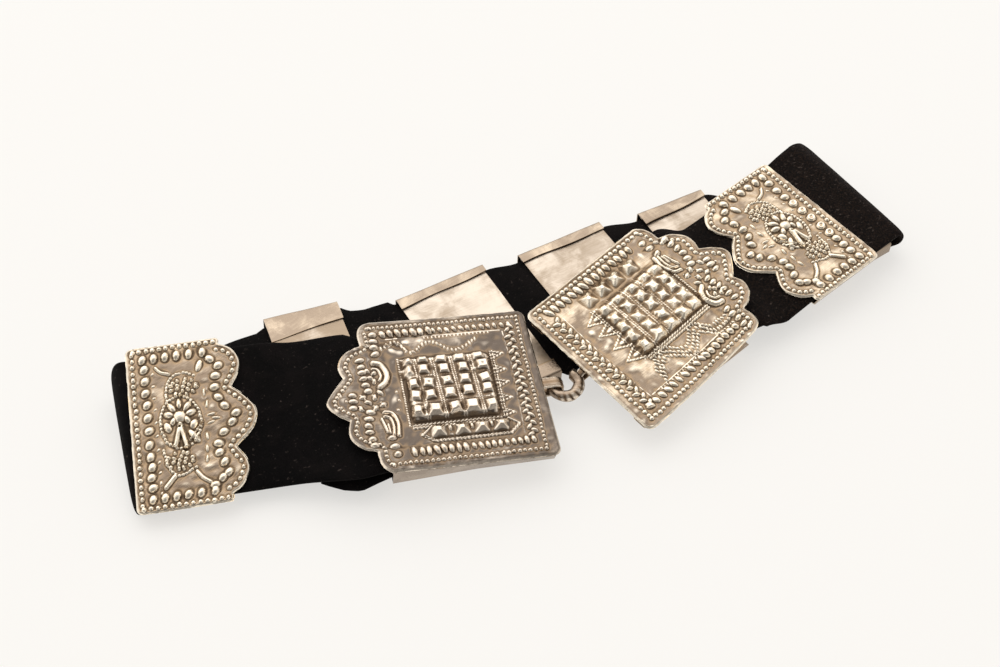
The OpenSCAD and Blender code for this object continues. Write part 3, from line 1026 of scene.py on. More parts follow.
@dataclass
class WorkedPlate:
    """A hollow plate of chased sheet silver with scallops at one end.

    Attributes:
        name: The piece's name, and the start of the name of the solid that it stands for.
        pose: Where it sits on the strap.
        hand: How its pattern is laid.
        outline: Its edge.
        lift: The angle by which its face rises to the scallops, in degrees.
        cell: The spacing of the face's grid, in mm.
        seed: Makes its hand work its own.
        rim_drop: The thickness of its rim.
        tarnish: How dark its open ground is, from 0 to 1.
        dull_start: How much darker it is at its straight edge.
        rim: The middle of the rounded rim inside the edge, and half its width.
        spread: How far the face stands over each side wall, at its straight end and at its scallops,
            on the side where the pattern's c is above zero and then on the other.
        walls: Where the side walls start and end along the plate.
        follow: The share of the straight edge's lean by which a wall's start moves.
        wall_lean: How far the side walls lean in.
        flap: How far the flap under each side wall reaches in.
        flare: How much lower the flaps are at the scallops than at the straight edge.
        rng: The plate's own random draws.
    """

    name: str
    pose: Pose
    hand: Hand
    outline: Outline
    lift: float = 0.0
    cell: float = 0.34
    seed: int = 1
    rim_drop: float = 1.0
    tarnish: float = 0.5
    dull_start: float = 0.0
    rim: Spot = (0.95, 0.6)
    spread: tuple[Spot, Spot] = ((0.0, 0.0), (0.0, 0.0))
    walls: Spot = (1.0, 43.0)
    follow: float = 1.0
    wall_lean: float = 1.8
    flap: float = 9.1
    flare: float = 0.0
    rng: np.random.Generator = field(init=False, repr=False)

    def __post_init__(self) -> None:
        """Starts the random draws."""
        self.rng = np.random.default_rng(self.seed)

    def chase(self, relief: Relief) -> None:
        """Works the plate's pattern into the relief."""
        raise NotImplementedError

    def lay(self, a: Array, c: Array, h: Array) -> Array:
        """Puts points of the pattern in their place on the belt.

        Args:
            a: Places along the plate.
            c: Places across it, in the pattern's own sense.
            h: Heights over the face.

        Returns:
            The points in metres.
        """
        along, across = self.hand.value
        cos, sin = math.cos(math.radians(self.lift)), math.sin(math.radians(self.lift))
        x, z = a * cos - h * sin, a * sin + h * cos + FACE_Z
        over = np.where(c > 0, self.reach_over(Side.FAR, a), self.reach_over(Side.NEAR, a))
        c = c + over * c / self.outline.half
        return world(self.pose.place(np.stack([along * x, across * c, z], -1)))

    def reach_over(self, side: Side, a: Array) -> Array:
        """Returns how far the face stands over the side wall, at these places along the plate."""
        start, end = self.spread[0] if side is Side.FAR else self.spread[1]
        return start + (end - start) * np.clip(a / SPREAD_RUN, 0, 1) ** SPREAD_POWER

    def flip(self) -> bool:
        """True if the hand turns faces inside out."""
        return self.hand.value[0] * self.hand.value[1] < 0

    def face(self) -> Mesh:
        """Makes the chased face with its rounded rim and a flat underside.

        Returns:
            The mesh.
        """
        half = self.outline.half
        rows = round(2 * half / self.cell)
        reach = max(p[1] for p in self.outline.scallops)
        columns = round(reach / self.cell)
        sheet = make_grid(columns, rows)
        for _ in range(2):
            rim = [e for e in sheet.edges if e.is_boundary]
            fresh = bmesh.ops.extrude_edge_only(sheet, edges=rim)["geom"]
            verts = [g for g in fresh if isinstance(g, bmesh.types.BMVert)]
            bmesh.ops.translate(sheet, verts=verts, vec=(0, 0, -1))
        rim = [e for e in sheet.edges if e.is_boundary]
        bmesh.ops.contextual_create(sheet, geom=rim)
        unit_points = read(sheet)
        c = unit_points[:, 1] * 2 * half
        start, end = self.outline.start(c), self.outline.end(c)
        a = start + (unit_points[:, 0] + 0.5) * (end - start)
        top = (columns + 1) * (rows + 1)
        shape = (rows + 1, columns + 1)
        relief = Relief(a[:top].reshape(shape), c[:top].reshape(shape))
        relief.ground += 0.18 * unevenness(relief.a, relief.c, 9.0, self.seed)
        relief.ground += 0.13 * unevenness(relief.a, relief.c, 2.6, self.seed + 50)
        self.chase(relief)
        relief.settle()
        inside = self.outline.depth_inside(relief.a, relief.c)
        hollow, proud, low = relief.hollows(relief.ground, self.cell)
        middle, wide = self.rim
        height = relief.ground + 0.4 * wide ** 0.5 * np.exp(-((inside - middle) / wide) ** 2)
        height -= 0.6 * np.clip(1 - inside / 0.75, 0, 1) ** 2
        # Painted highlight: a bright line is painted along the plate's edge, on top of the rubbed high
        # places.
        proud = np.maximum(proud, 0.3 * np.exp(-(inside / 0.75) ** 2))
        dull = self.dull_start * np.clip(1.2 - relief.a / 30, 0, 1)
        proud *= 1 - dull
        stain = self.tarnish + dull + 0.45 * low + 0.3 * unevenness(relief.a, relief.c, 12.0, self.seed + 90)
        level = np.rint(-unit_points[:, 2]).astype(int)
        h = np.zeros(len(a))
        h[:top] = height.ravel()
        h[level == 1] = -self.rim_drop * 0.65
        h[level == 2] = -self.rim_drop
        edge = level > 0
        out = self.outline.outward(np.stack([a[edge], c[edge]], 1))
        push = np.where(level[edge] == 1, 0.12, -0.05)
        a[edge] += out[:, 0] * push
        c[edge] += out[:, 1] * push
        write(sheet, self.lay(a, c, h))
        dirt_and_shadow, rub_and_rim_highlight, shade = np.zeros(len(a)), np.zeros(len(a)), np.full(len(a), self.tarnish)
        dirt_and_shadow[:top], rub_and_rim_highlight[:top], shade[:top] = hollow.ravel(), proud.ravel(), stain.ravel()
        # Painted highlight on the top of the rim's outer drop.
        rub_and_rim_highlight[level == 1] = 0.25
        note(sheet, hollow=dirt_and_shadow, proud=rub_and_rim_highlight, flap=0.0, tarnish=shade)
        if self.flip():
            bmesh.ops.reverse_faces(sheet, faces=sheet.faces)
        return to_mesh(sheet, self.name + "_face", 80)

    def flap_share(self, a: Array) -> Array:
        """Returns the flap's share of its full width, at these places along it."""
        return np.ones_like(a)

    def side_profile(self, a: Array) -> tuple[Array, Array]:
        """Leads the side down from the face, round a tight bend and in under the strap.

        Args:
            a: Places along the side.

        Returns:
            How far in, and how high, each row of the profile runs at these places.
        """
        top = FACE_Z + a * math.tan(math.radians(self.lift)) - 0.75
        bottom = FLAP_OUT - self.flare * np.clip((a - 38) / 40, 0, 1)
        low = bottom + PLATE_BEND
        turn = np.radians(np.linspace(0, 90, 7))[:, None]
        wall = np.linspace(0, 1, 8)[:-1, None]
        flap = np.linspace(0.6, self.flap, 9)[:, None] * self.flap_share(a)
        bent = self.wall_lean + PLATE_BEND
        inset = np.concatenate([self.wall_lean * wall + 0 * a, bent - PLATE_BEND * np.cos(turn) + 0 * a,
                                bent + flap])
        z = np.concatenate([top + (low - top) * wall, low - PLATE_BEND * np.sin(turn),
                            np.repeat(bottom[None], 9, 0)])
        return inset, z

    def side(self, side: Side, start: float, end: float) -> Mesh:
        """Makes the turned-down side wall and the flap under it.

        Args:
            side: Which long side.
            start: Where it starts along the plate.
            end: Where it ends.

        Returns:
            The mesh.
        """
        columns, rows = 90, 22
        sheet = make_grid(columns, rows)
        points = read(sheet)
        a = start + (points[:, 0] + 0.5) * (end - start)
        row = np.rint((points[:, 1] + 0.5) * rows).astype(int)
        inset, z = self.side_profile(a[: columns + 1])
        column = np.rint((points[:, 0] + 0.5) * columns).astype(int)
        wobble = 0.12 * unevenness(a, row * 0.6, 7.0, self.seed + side.value)
        pulled = np.minimum(self.reach_over(side, a), 0)
        c = side.value * (self.outline.half - 0.15 + pulled - inset[row, column] + wobble * 0.6)
        h = z[row, column] + wobble * (row > rows * 0.3)
        along, across = self.hand.value
        write(sheet, world(self.pose.place(np.stack([along * a, across * c, h], -1))))
        crease = np.clip(1 - np.abs(row - rows * 0.5) / 3.0, 0, 1)
        edge = (row >= rows - 1) * 1.0
        streak = 0.5 + 0.35 * unevenness(a * 0.25, row * 2.0, 5.0, self.seed + 7)
        note(sheet, hollow=crease * 0.2, proud=edge * 0.6 + crease * 0.25, flap=np.where(edge > 0, 0.2, 0.8),
             tarnish=streak)
        bmesh.ops.recalc_face_normals(sheet, faces=sheet.faces)
        bmesh.ops.solidify(sheet, geom=sheet.faces[:], thickness=WALL_SHEET * MM)
        bmesh.ops.recalc_face_normals(sheet, faces=sheet.faces)
        return to_mesh(sheet, self.name + "_side", 40)

    def build(self, finish: Material, slot: str) -> Piece:
        """Builds the plate and puts it on the belt.

        Args:
            finish: Its material.
            slot: The name of its finish's material slot; not used.

        Returns:
            The piece.
        """
        start, end = self.walls
        meshes = [self.face()]
        meshes += [self.side(side, start + self.follow * self.outline.lean(side), end) for side in Side]
        piece = show(self.name, meshes, finish)
        put_on(piece, self.name + "_front")
        return piece


@dataclass
class BucklePlate(WorkedPlate):
    """One of the two large plates that meet at the clasp.

    Its last five fields are those of every plate, with other values.

    Attributes:
        boss: The foot of its raised square: from and to along the plate, then across it.
        columns: The pyramids' places along the plate.
        rows: The pyramids' places across it.
        column_lean: How far the columns lean along the plate for each mm across it.
        band: The places along the plate of the four pyramids in the lower band.
        band_c: The lower band's place across the plate.
        zigzag: The line of chased strokes.
        bead_pitch: The distance from bead to bead in the outer border.
        pyramid: Half the side of a pyramid's foot.
        flat_top: The pyramids' flat tops, as a share of their feet.
        sag: How hollow the pyramids' sides are.
        boss_rise: The raised square's height.
        tray: True if a roped line runs round the lower band.
        leaf: How many pointed leaves there are, half the width of one and its length.
        edges: The places across the plate of its two rows of beads and its two rows of ovals.
        oval: The size of its ovals, as a share of the left one's.
        low_ovals: From oval to oval in the lower row, and half the length of the first ones.
        strokes: How far each row of chased strokes lies beside their line.
    """

    boss: tuple[float, float, float, float] = (23.5, 63.8, -18.2, 20.0)
    columns: Sequence[float] = (26.4, 36.0, 45.2, 54.2, 62.4)
    rows: Sequence[float] = (-11.6, -3.0, 4.0, 11.0, 16.8)
    column_lean: float = 0.07
    band: Sequence[float] = (23.2, 32.6, 42.2, 53.4)
    band_c: float = -23.2
    zigzag: Line = ((74.0, 27.0), (66.0, 30.0), (60.0, 23.0), (50.0, 28.5), (38.0, 22.5), (27.0, 28.0))
    bead_pitch: float = 2.35
    pyramid: float = 3.15
    flat_top: float = 0.58
    sag: float = 1.0
    boss_rise: float = 2.8
    tray: bool = True
    leaf: tuple[int, float, float] = (5, 2.6, 6.0)
    edges: tuple[float, float, float, float] = (38.8, -38.3, 34.9, -32.7)
    oval: float = 1.0
    low_ovals: Spot = (3.3, 2.2)
    strokes: Sequence[float] = (0.0,)
    rim: Spot = (1.7, 1.15)
    lift: float = 2.4
    walls: Spot = (2.0, 78.0)
    follow: float = 0.6
    flare: float = 3.4

    def borders(self, relief: Relief) -> None:
        """Works the two bead borders round the plate.

        Args:
            relief: The face's relief.
        """
        rng = self.rng
        high, low, oval_high, oval_low = self.edges
        pitch, size = self.bead_pitch, self.oval
        bead = pitch * 0.41
        relief.row(((4.2, high), (78.5, high)), pitch, bead, bead * 0.95, 0, 0.95, rng)
        relief.row(((4.2, low), (77.0, low)), pitch * 1.1, bead * 1.1, bead, 0, 1.05, rng)
        relief.row(((4.0, -36.0), (4.4, 36.6)), pitch, bead, bead * 0.95, 0, 0.95, rng)
        relief.row(self.outline.inner_line(3.7), pitch * 1.05, bead, bead * 0.95, 0, 0.9, rng)
        relief.row(((9.0, oval_high), (47.0, oval_high)), 3.4 * size, 1.8 * size, 1.1 * size, 62, 1.2, rng)
        relief.row(((49.5, oval_high), (72.5, oval_high)), 3.9, 2.5, 1.65, 58, 1.9, rng)
        low_pitch, low_long = self.low_ovals
        relief.row(((9.5, oval_low), (38.0, oval_low)), low_pitch, low_long * size, 1.3 * size, 74, 1.5, rng)
        relief.row(((42.0, oval_low), (66.5, oval_low)), low_pitch, 2.7, 1.45, 78, 1.8, rng)
        for a, c, _ in walk(((8.9, -28.6), (9.4, 32.6)), 4.5):
            for side in (-1, 1):
                relief.bead(a - side * 1.05 + rng.normal(0, 0.15), c + side * 1.0,
                            2.0 * rng.uniform(0.85, 1.1), 1.1, side * 34 + rng.normal(0, 9),
                            1.3 * rng.uniform(0.8, 1.15))
        relief.ridge(((12.8, -28.6), (11.8, 10.0), (12.8, 31.0)), 0.3, 0.15, groove=0.05)
        relief.ridge(((14.0, oval_high - 3.1), (71.0, oval_high - 2.9)), 0.32, 0.25, groove=0.08)

    def scalloped_end(self, relief: Relief) -> None:
        """Works the ovals, the two curls and the small flowers at the scallops.

        Args:
            relief: The face's relief.
        """
        rng = self.rng
        stacks = (((77.4, 35.0), (77.4, 23.6)), ((85.6, 21.0), (85.0, 12.0), (83.6, 3.6)),
                  ((91.5, 2.2), (91.8, -4.6)), ((84.2, -8.0), (86.4, -17.0), (84.4, -27.0)),
                  ((76.0, -24.0), (74.6, -33.0)))
        for stack in stacks:
            relief.row(stack, 3.7, 2.3, 1.5, 90, 1.5, rng)
        curls = ((1.6, 1.6, ((79.0, 18.6), (75.4, 17.2), (73.4, 12.0), (74.6, 7.6), (77.6, 5.2))),
                 (0.75, 0.9, ((79.8, 15.6), (77.4, 14.6), (76.4, 11.4), (77.4, 9.0))),
                 (1.0, 1.35, ((77.6, -9.2), (73.8, -10.6), (71.8, -16.0), (72.4, -22.8))),
                 (0.7, 1.1, ((77.8, -11.6), (75.2, -13.0), (74.2, -17.0), (74.6, -22.0))),
                 (0.75, 1.0, ((79.4, -12.6), (78.4, -16.0), (77.4, -20.4))))
        for wide, rise, line in curls:
            relief.ridge(smooth_curve(line), wide, rise)
        for a, c in ((79.6, 13.0), (81.6, 10.6), (80.0, 8.6), (82.6, 14.6)):
            relief.bead(a, c, 1.6, 1.1, rng.uniform(0, 180), 1.3)
        relief.ridge(((76.6, -16.0), (76.2, -21.0)), 0.5, 0.9)
        flowers = ((78.0, 2.2, 40), (77.4, -4.6, -30), (84.4, -2.4, 15), (88.2, -5.6, 80), (81.0, 0.0, 100),
                   (81.2, -6.0, -60), (86.6, 0.6, -20))
        for a, c, turn in flowers:
            relief.bead(a, c, 1.9, 1.1, turn, 1.1)
            relief.ridge(((a - 1.0, c - 1.3), (a + 1.0, c + 1.3)), 0.3, 1.0, groove=0.0)
        for a, c in ((97.0, 2.4), (97.4, -4.0), (94.6, -0.8), (70.0, 2.0), (69.4, -3.0), (70.6, -8.4)):
            relief.bead(a, c, 0.75, 0.6, rng.uniform(0, 180), 0.45)

    def square(self, relief: Relief) -> None:
        """Raises the square boss with its pyramids and roped lines, and the band below it.

        Args:
            relief: The face's relief.
        """
        rng = self.rng
        a0, a1, c0, c1 = self.boss
        relief.plateau((a0 - 2.2, c0 + 0.4), (a1 + 2.2, c1), self.boss_rise, 3.2, 4.0)
        low = self.band_c
        if self.tray:
            relief.plateau((self.band[0] - 6.0, low - 4.4), (self.band[3] + 5.5, low + 4.4), 0.8, 2.4, 4.0)
        relief.settle()
        mid = (c0 + c1) / 2
        for k in range(len(self.rows) - 1):
            c = (self.rows[k] + self.rows[k + 1]) / 2
            relief.ridge(((a0 + 3.0, c), (a1 - 2.6, c)), 0.4, 0.22, 1.3, 1.4, 0.0)
        for i in range(len(self.columns) - 1):
            a = (self.columns[i] + self.columns[i + 1]) / 2
            lean = (c1 - mid) * self.column_lean
            for foot in (a - 0.6, a + 0.6):
                relief.ridge(((foot - lean, c0 + 0.4), (foot + lean, c1 - 0.4)), 0.42, 0.34, 1.3, 1.4, 0.0)
        for _ in range(24):
            relief.dent(rng.uniform(a0, a1), rng.uniform(c0 + 3, c1 - 3), rng.uniform(0.8, 1.8),
                        rng.uniform(0.6, 1.2), rng.uniform(0, 180), rng.normal(0, 0.35))
        for c in self.rows:
            for a in self.columns:
                at = a + (c - mid) * self.column_lean + rng.normal(0, 0.35)
                size, rise = self.pyramid * rng.uniform(0.86, 1.06), rng.uniform(1.25, 1.8)
                if c == self.rows[0]:
                    size, rise = size * 1.12, rise * 1.4
                relief.pyramid(at, c + rng.normal(0, 0.35), size, rise,
                               self.flat_top * rng.uniform(0.75, 1.08), rng.normal(0, 8), sag=self.sag)
        foot = c0 - 0.9 if self.hand is Hand.MIRRORED else c1 + 0.9
        for shift in (-0.7, 0.7):
            relief.ridge(((a0 - 1.0, foot + shift), (a1 + 1.0, foot + shift)), 0.75, 1.0, 1.9, 1.3)
        relief.ridge(((a1 + 2.6, c0), (a1 + 3.2, c1)), 0.55, 0.6, 1.4)
        for shift in (-3.4, -2.2):
            relief.ridge(((a0 + shift - 0.6, c0), (a0 + shift, c1)), 0.42, 0.5, 1.4)
        for a in self.band:
            relief.pyramid(a, low + 0.3, 3.9, 2.4, 0.2, rng.normal(0, 5), 0.2, 1.1)
        if not self.tray:
            return
        for a in np.add(self.band[:-1], self.band[1:]) / 2:
            relief.bead(float(a), low + 1.4, 1.9, 0.85, 86, 1.1)
        start, end = self.band[0] - 9.0, self.band[3] + 8.0
        relief.ridge(((start, low + 0.2), (start + 5.0, low - 4.6), (end - 5.5, low - 4.8), (end, low - 0.6)),
                     0.85, 0.95, 1.9, 1.6)
        relief.ridge(((start, low + 0.2), (start + 5.0, low + 4.0)), 0.45, 0.7)
        relief.ridge(((end, low - 0.6), (end - 5.5, low + 4.0)), 0.45, 0.7)

    def leaves(self, relief: Relief) -> None:
        """Works the pointed leaves on the clasp side and the chased strokes on the open ground.

        Args:
            relief: The face's relief.
        """
        rng = self.rng
        a0 = self.boss[0] - 2.4
        count, half, long = self.leaf
        for i in range(count):
            c = self.boss[2] + half + i * (self.boss[3] - self.boss[2] - 2 * half) / (count - 1)
            tip = (a0 - long, c + rng.normal(0, 0.4))
            relief.ridge(((a0, c - half * 0.85), tip, (a0, c + half * 0.85)), 0.65, 0.55, 1.8, 0.8, 0.08)
            relief.bead(a0 - long * 0.2, c, long * 0.34, half * 0.3, 0, 0.55, 0.8, 0.08)
            relief.dent(a0 - long - 1.0, c + half, 3.4, 3.0, 0, -0.3)
        wave = smooth_curve(self.zigzag, 10)
        for a, c, _ in walk(wave, 2.0):
            for shift in self.strokes:
                relief.bead(a + rng.normal(0, 0.2), c + shift, rng.uniform(1.05, 1.5), 0.55,
                            80 + rng.normal(0, 14), rng.uniform(0.5, 0.8), 0.6, 0.08)
        for a, c, _ in walk(((52.0, 31.0), (20.0, 31.0)), 1.9):
            relief.bead(a, c, 0.8, 0.35, 90 + rng.normal(0, 14), 0.35, 0.6, 0.06)
        relief.dent(66.0, 27.5, 8.0, 2.6, 20, 0.7)
        relief.dent(72.0, 22.0, 2.6, 6.0, 10, 0.6)
        relief.dent(15.0, -5.0, 3.5, 22.0, 0, 0.35)

    def chase(self, relief: Relief) -> None:
        """Works the whole pattern.

        Args:
            relief: The face's relief.
        """
        self.square(relief)
        relief.settle()
        self.leaves(relief)
        self.borders(relief)
        self.scalloped_end(relief)


@dataclass
class SmallPlate(WorkedPlate):
    """One of the two smaller scalloped plates.

    Attributes:
        ring_beads: True if the beads of the large column are hollow rings, as on the right plate.
        bead_pitch: From bead to bead in the outer border.
    """

    ring_beads: bool = False
    bead_pitch: float = 3.15

    def borders(self, relief: Relief) -> None:
        """Works the small and the large bead borders.

        Args:
            relief: The face's relief.
        """
        rng = self.rng
        for line in (((2.0, -37.6), (2.0, 37.6)), ((2.4, 39.0), (41.6, 39.2)), ((2.4, -39.0), (41.6, -39.2))):
            relief.row(line, self.bead_pitch, 1.22, 1.15, 0, 1.15, rng)
        relief.row(self.outline.inner_line(3.0)[4:-4], self.bead_pitch, 1.2, 1.1, 0, 1.1, rng)
        column = (29.5, 23.5, 17.5, 11.5, 5.0, -1.5, -8.5, -14.5, -19.5, -24.5, -29.5)
        for i, c in enumerate(column):
            if self.ring_beads and i in (3, 4, 5, 6, 7):
                relief.ring(7.6, c, 1.45, 1.0, 1.5)
                relief.bead(7.6, c, 1.2, 1.2, 0, 1.15)
            else:
                relief.bead(7.5 + rng.normal(0, 0.25), c, 2.5, 2.05, rng.uniform(20, 70), 1.8)
            relief.bead(11.2, c - 3.0, 0.9, 0.5, rng.uniform(0, 90), 0.4)
        for a in (7.0, 12.5, 18.0, 23.5, 29.5, 36.0):
            relief.bead(a, 34.6, 2.6, 1.95, rng.uniform(60, 85), 1.9)
            relief.bead(a, -35.0, 2.5, 1.95, rng.uniform(50, 80), 1.9)
        run = ((39.2, 30.6), (43.0, 26.6), (41.2, 21.6), (40.2, 16.0), (41.6, 10.6), (44.2, 6.0), (49.2, 1.6),
               (47.0, -2.6), (42.6, -7.0), (39.6, -12.4), (39.6, -16.9), (41.6, -21.9), (43.0, -27.2),
               (40.0, -29.4), (36.2, -32.4))
        for a, c in run:
            relief.bead(a, c, 2.55, 1.95, rng.uniform(-40, 60), 1.85)

    def medallion(self, relief: Relief) -> None:
        """Works the oval medallion with its petals.

        Args:
            relief: The face's relief.
        """
        rng = self.rng
        a0, c0 = 22.8, 0.6
        relief.dent(a0, c0, 8.0, 11.0, 0, -1.9)
        oval = [(a0 + 9.6 * math.cos(t), c0 + 13.0 * math.sin(t)) for t in np.linspace(0, math.tau, 49)]
        relief.row(oval[:-1], 1.9, 0.95, 0.8, 0, 0.9, rng)
        relief.settle()
        for angle, reach, long, wide in ((90, 7.6, 3.0, 1.5), (122, 6.8, 3.3, 1.7), (56, 6.8, 3.3, 1.7),
                                         (155, 5.8, 2.9, 1.8), (24, 5.8, 2.9, 1.8)):
            t = math.radians(angle)
            relief.bead(a0 + reach * math.cos(t), c0 + 1.5 + reach * math.sin(t), long, wide, angle, 1.9, 0.8)
        for side in (-1, 1):
            relief.bead(a0 + side * 6.2, c0 - 2.0, 2.7, 1.8, 90 - side * 24, 1.5, 0.6)
            relief.bead(a0 + side * 3.4, c0 + 0.4, 2.2, 1.5, 90 + side * 30, 1.5, 0.7)
        for tip, wide in (((19.8, -10.4), 1.35), ((24.8, -11.8), 1.25)):
            relief.ridge(((a0 - 0.2, c0 - 2.0), tip), wide, 1.9)
        relief.bead(28.6, -7.2, 4.0, 1.7, 125, 1.3, 0.6)
        for k in range(6):
            relief.ridge(((26.4 + k * 0.9, -9.0 + k * 1.1), (28.6 + k * 0.9, -6.6 + k * 1.1)), 0.32, 1.5)
        relief.bead(a0, c0 + 2.2, 3.5, 3.3, 0, 2.1, 0.8)
        relief.dent(22.3, -1.8, 0.65, 0.65, 0, 3.0)

    def flower(self, relief: Relief, a: float, c: float, arc: Line) -> None:
        """Works a small flower head inside a beaded arc.

        Args:
            relief: The face's relief.
            a: Its middle along the plate.
            c: Its middle across the plate.
            arc: The points of the arc.
        """
        rng = self.rng
        relief.dent(a, c, 6.5, 4.0, 0, -0.7)
        for reach, count in ((0.0, 1), (2.3, 6), (4.6, 12)):
            for k in range(count):
                t = (k + reach) * math.tau / count + rng.normal(0, 0.1)
                relief.bead(a + reach * 1.35 * math.cos(t), c + reach * 0.85 * math.sin(t),
                            rng.uniform(0.95, 1.35), rng.uniform(0.8, 1.05), math.degrees(t),
                            rng.uniform(1.1, 1.7))
        relief.row(smooth_curve(arc), 1.75, 0.85, 0.75, 0, 0.8, rng)

    def chase(self, relief: Relief) -> None:
        """Works the whole pattern.

        Args:
            relief: The face's relief.
        """
        self.medallion(relief)
        self.flower(relief, 25.4, 18.0,
                    ((17.0, 12.0), (17.4, 19.0), (20.0, 23.6), (25.4, 25.6), (30.6, 23.6)))
        self.flower(relief, 20.8, -18.2, ((13.6, -12.0), (15.6, -21.4), (20.6, -25.2), (28.0, -22.4)))
        relief.ridge(smooth_curve(((13.0, 29.6), (15.4, 27.0), (19.0, 25.6))), 0.8, 1.1)
        relief.bead(33.8, 28.0, 3.2, 1.6, 68, 1.2)
        relief.ridge(((13.4, -30.2), (17.8, -25.6)), 1.2, 1.1)
        relief.ridge(smooth_curve(((28.4, -24.4), (31.0, -28.0), (34.2, -30.4))), 0.95, 1.2)
        strokes = ((37.4, 2.6, 10), (39.6, 0.6, -10), (37.0, -1.4, 20), (35.8, 8.0, 80), (34.6, -8.0, 95),
                   (35.0, 14.0, 90), (34.0, -14.0, 90), (33.6, -19.0, 80))
        for a, c, turn in strokes:
            relief.bead(a, c, 1.9, 0.6, turn, 0.7)
        self.borders(relief)

    def flap_share(self, a: Array) -> Array:
        """Returns the flap's share of its full width: next to none at the straight edge."""
        return np.clip((a - 10.5) / 2.0, 0.06, 1)


@dataclass
class BackWrap:
    """A wrap on the back run, whose plain back shows on top between two turned-over flaps.

    Attributes:
        number: Its place in the row, from the left.
        pose: Where it sits on the strap.
        length: Its length along the strap, in mm.
        far_flap: The width of its far flap at the left and at the right end.
        double_seam: True if a second seam runs along the flap.
        half: Half its height across the strap.
        near_flap: The width of its near flap.
        tarnish: How dark its backing sheet is, from 0 to 1.
    """

    number: int
    pose: Pose
    length: float
    far_flap: Spot
    double_seam: bool = False
    half: float = 40.0
    near_flap: float = 8.0
    tarnish: float = 0.16

    def shell(self) -> Mesh:
        """Makes the worked sheet that goes round the strap, from flap to flap.

        Returns:
            The mesh.
        """
        bend, half, top, bottom = WRAP_BEND, self.half, -FLAP_OUT, -FACE_Z
        columns, flap_rows, face_rows = 64, 12, 103
        turn = np.radians(np.linspace(0, 90, 6))[1:]
        sin, cos = bend * np.sin(turn), bend * np.cos(turn)
        x = np.linspace(0, self.length, columns + 1)
        width = np.interp(x, [0, self.length], self.far_flap) + 0.35 * np.sin(x / 6.5 + self.number)
        flap = np.linspace(0, 1, flap_rows)[:, None] ** 1.7
        inside = flap * width
        lip = 0.25 * np.exp(-(inside / 0.7) ** 2) if self.double_seam else 0.0
        # The profile after the far flap: each row's place across and its height
        across = np.concatenate([
            half - bend + sin, [half] * 3, half - bend + cos,
            np.linspace(half - bend, bend - half, face_rows + 1)[1:],
            bend - half - sin, [-half] * 3, bend - half - cos,
            np.linspace(bend - half, self.near_flap - half, 9)[1:],
        ])
        up = np.concatenate([
            top - bend + cos, [2.0, 0.4, -1.2], bottom + bend - sin, [bottom] * face_rows,
            bottom + bend - cos, [-1.2, 0.4, 2.0], top - bend + sin, [top] * 8,
        ])
        level = np.zeros_like(x)
        y = np.concatenate([half - width + (width - bend) * flap, across[:, None] + level])
        z = np.concatenate([top - 0.36 * np.exp(-(inside / 2.4) ** 2) + lip, up[:, None] + level])
        rows = len(y) - 1
        first = flap_rows + 2 * len(turn) + 3
        face = slice(first, first + face_rows)
        relief = Relief(np.tile(x, (face_rows, 1)), y[face][::-1])
        self.chase(relief)
        relief.settle()
        z[face] -= relief.ground[::-1]
        z += 0.14 * unevenness(np.tile(x, (rows + 1, 1)), y, 12.0, self.number)
        sheet = make_grid(columns, rows)
        points = read(sheet)
        column = np.rint((points[:, 0] + 0.5) * columns).astype(int)
        row = rows - np.rint((points[:, 1] + 0.5) * rows).astype(int)
        write(sheet, world(self.pose.place(np.stack([x[column], y[row, column], z[row, column]], -1))))
        edge = (row == 0) | (row == rows)
        stain = 0.8 + 0.4 * unevenness(x[column], y[row, column], 10.0, self.number + 40)
        stain += 0.4 * (row > rows - 12)
        # Painted shadow: the rows at the flaps' inner edges are marked hollow, which paints a dark line along
        # each flap's edge.
        note(sheet, hollow=edge * 0.45, proud=0.0, flap=0.55, tarnish=stain)
        bmesh.ops.recalc_face_normals(sheet, faces=sheet.faces)
        bmesh.ops.solidify(sheet, geom=sheet.faces[:], thickness=WRAP_SHEET * MM)
        bmesh.ops.recalc_face_normals(sheet, faces=sheet.faces)
        return to_mesh(sheet, f"back_wrap_{self.number}_shell", 40)

    def chase(self, relief: Relief) -> None:
        """Works bead borders and three flowers into the face that lies below.

        Args:
            relief: The face's relief.
        """
        rng = np.random.default_rng(self.number)
        end = self.length - 3.5
        for c in (-36.0, 36.0):
            relief.row(((3.5, c), (end, c)), 3.2, 1.2, 1.1, 0, 1.0, rng)
        for a in (3.5, end):
            relief.row(((a, -33.0), (a, 33.0)), 3.2, 1.2, 1.1, 0, 1.0, rng)
        for c in (-20.0, 0.0, 20.0):
            relief.bead(self.length / 2, c, 3.0, 3.0, 0, 1.6)
            for k in range(8):
                t = k * math.tau / 8
                relief.bead(self.length / 2 + 6 * math.cos(t), c + 6 * math.sin(t), 2.2, 1.4,
                            math.degrees(t), 1.2)

    def sheet(self) -> Mesh:
        """Makes the plain backing sheet.

        Returns:
            The mesh.
        """
        columns, rows = 44, 76
        sheet = make_grid(columns, rows)
        points = read(sheet)
        x = 0.6 + (points[:, 0] + 0.5) * (self.length - 1.2)
        y = points[:, 1] * 2 * (self.half - 1.8)
        z = -BACKING_OUT + 0.16 * unevenness(x, y, 14.0, self.number + 20)
        write(sheet, world(self.pose.place(np.stack([x, y, z], -1))))
        rim = np.clip(1 - np.minimum(x, self.length - x) / 5.0, 0, 1) ** 2
        stain = self.tarnish + 0.25 * rim + 0.18 * unevenness(x, y, 12.0, self.number + 60)
        stain += 0.55 * np.clip((-y - 8) / 20, 0, 1)
        note(sheet, hollow=0.0, proud=0.0, flap=0.0, tarnish=stain)
        bmesh.ops.solidify(sheet, geom=sheet.faces[:], thickness=BACKING_SHEET * MM)
        bmesh.ops.recalc_face_normals(sheet, faces=sheet.faces)
        return to_mesh(sheet, f"back_wrap_{self.number}_sheet", 40)

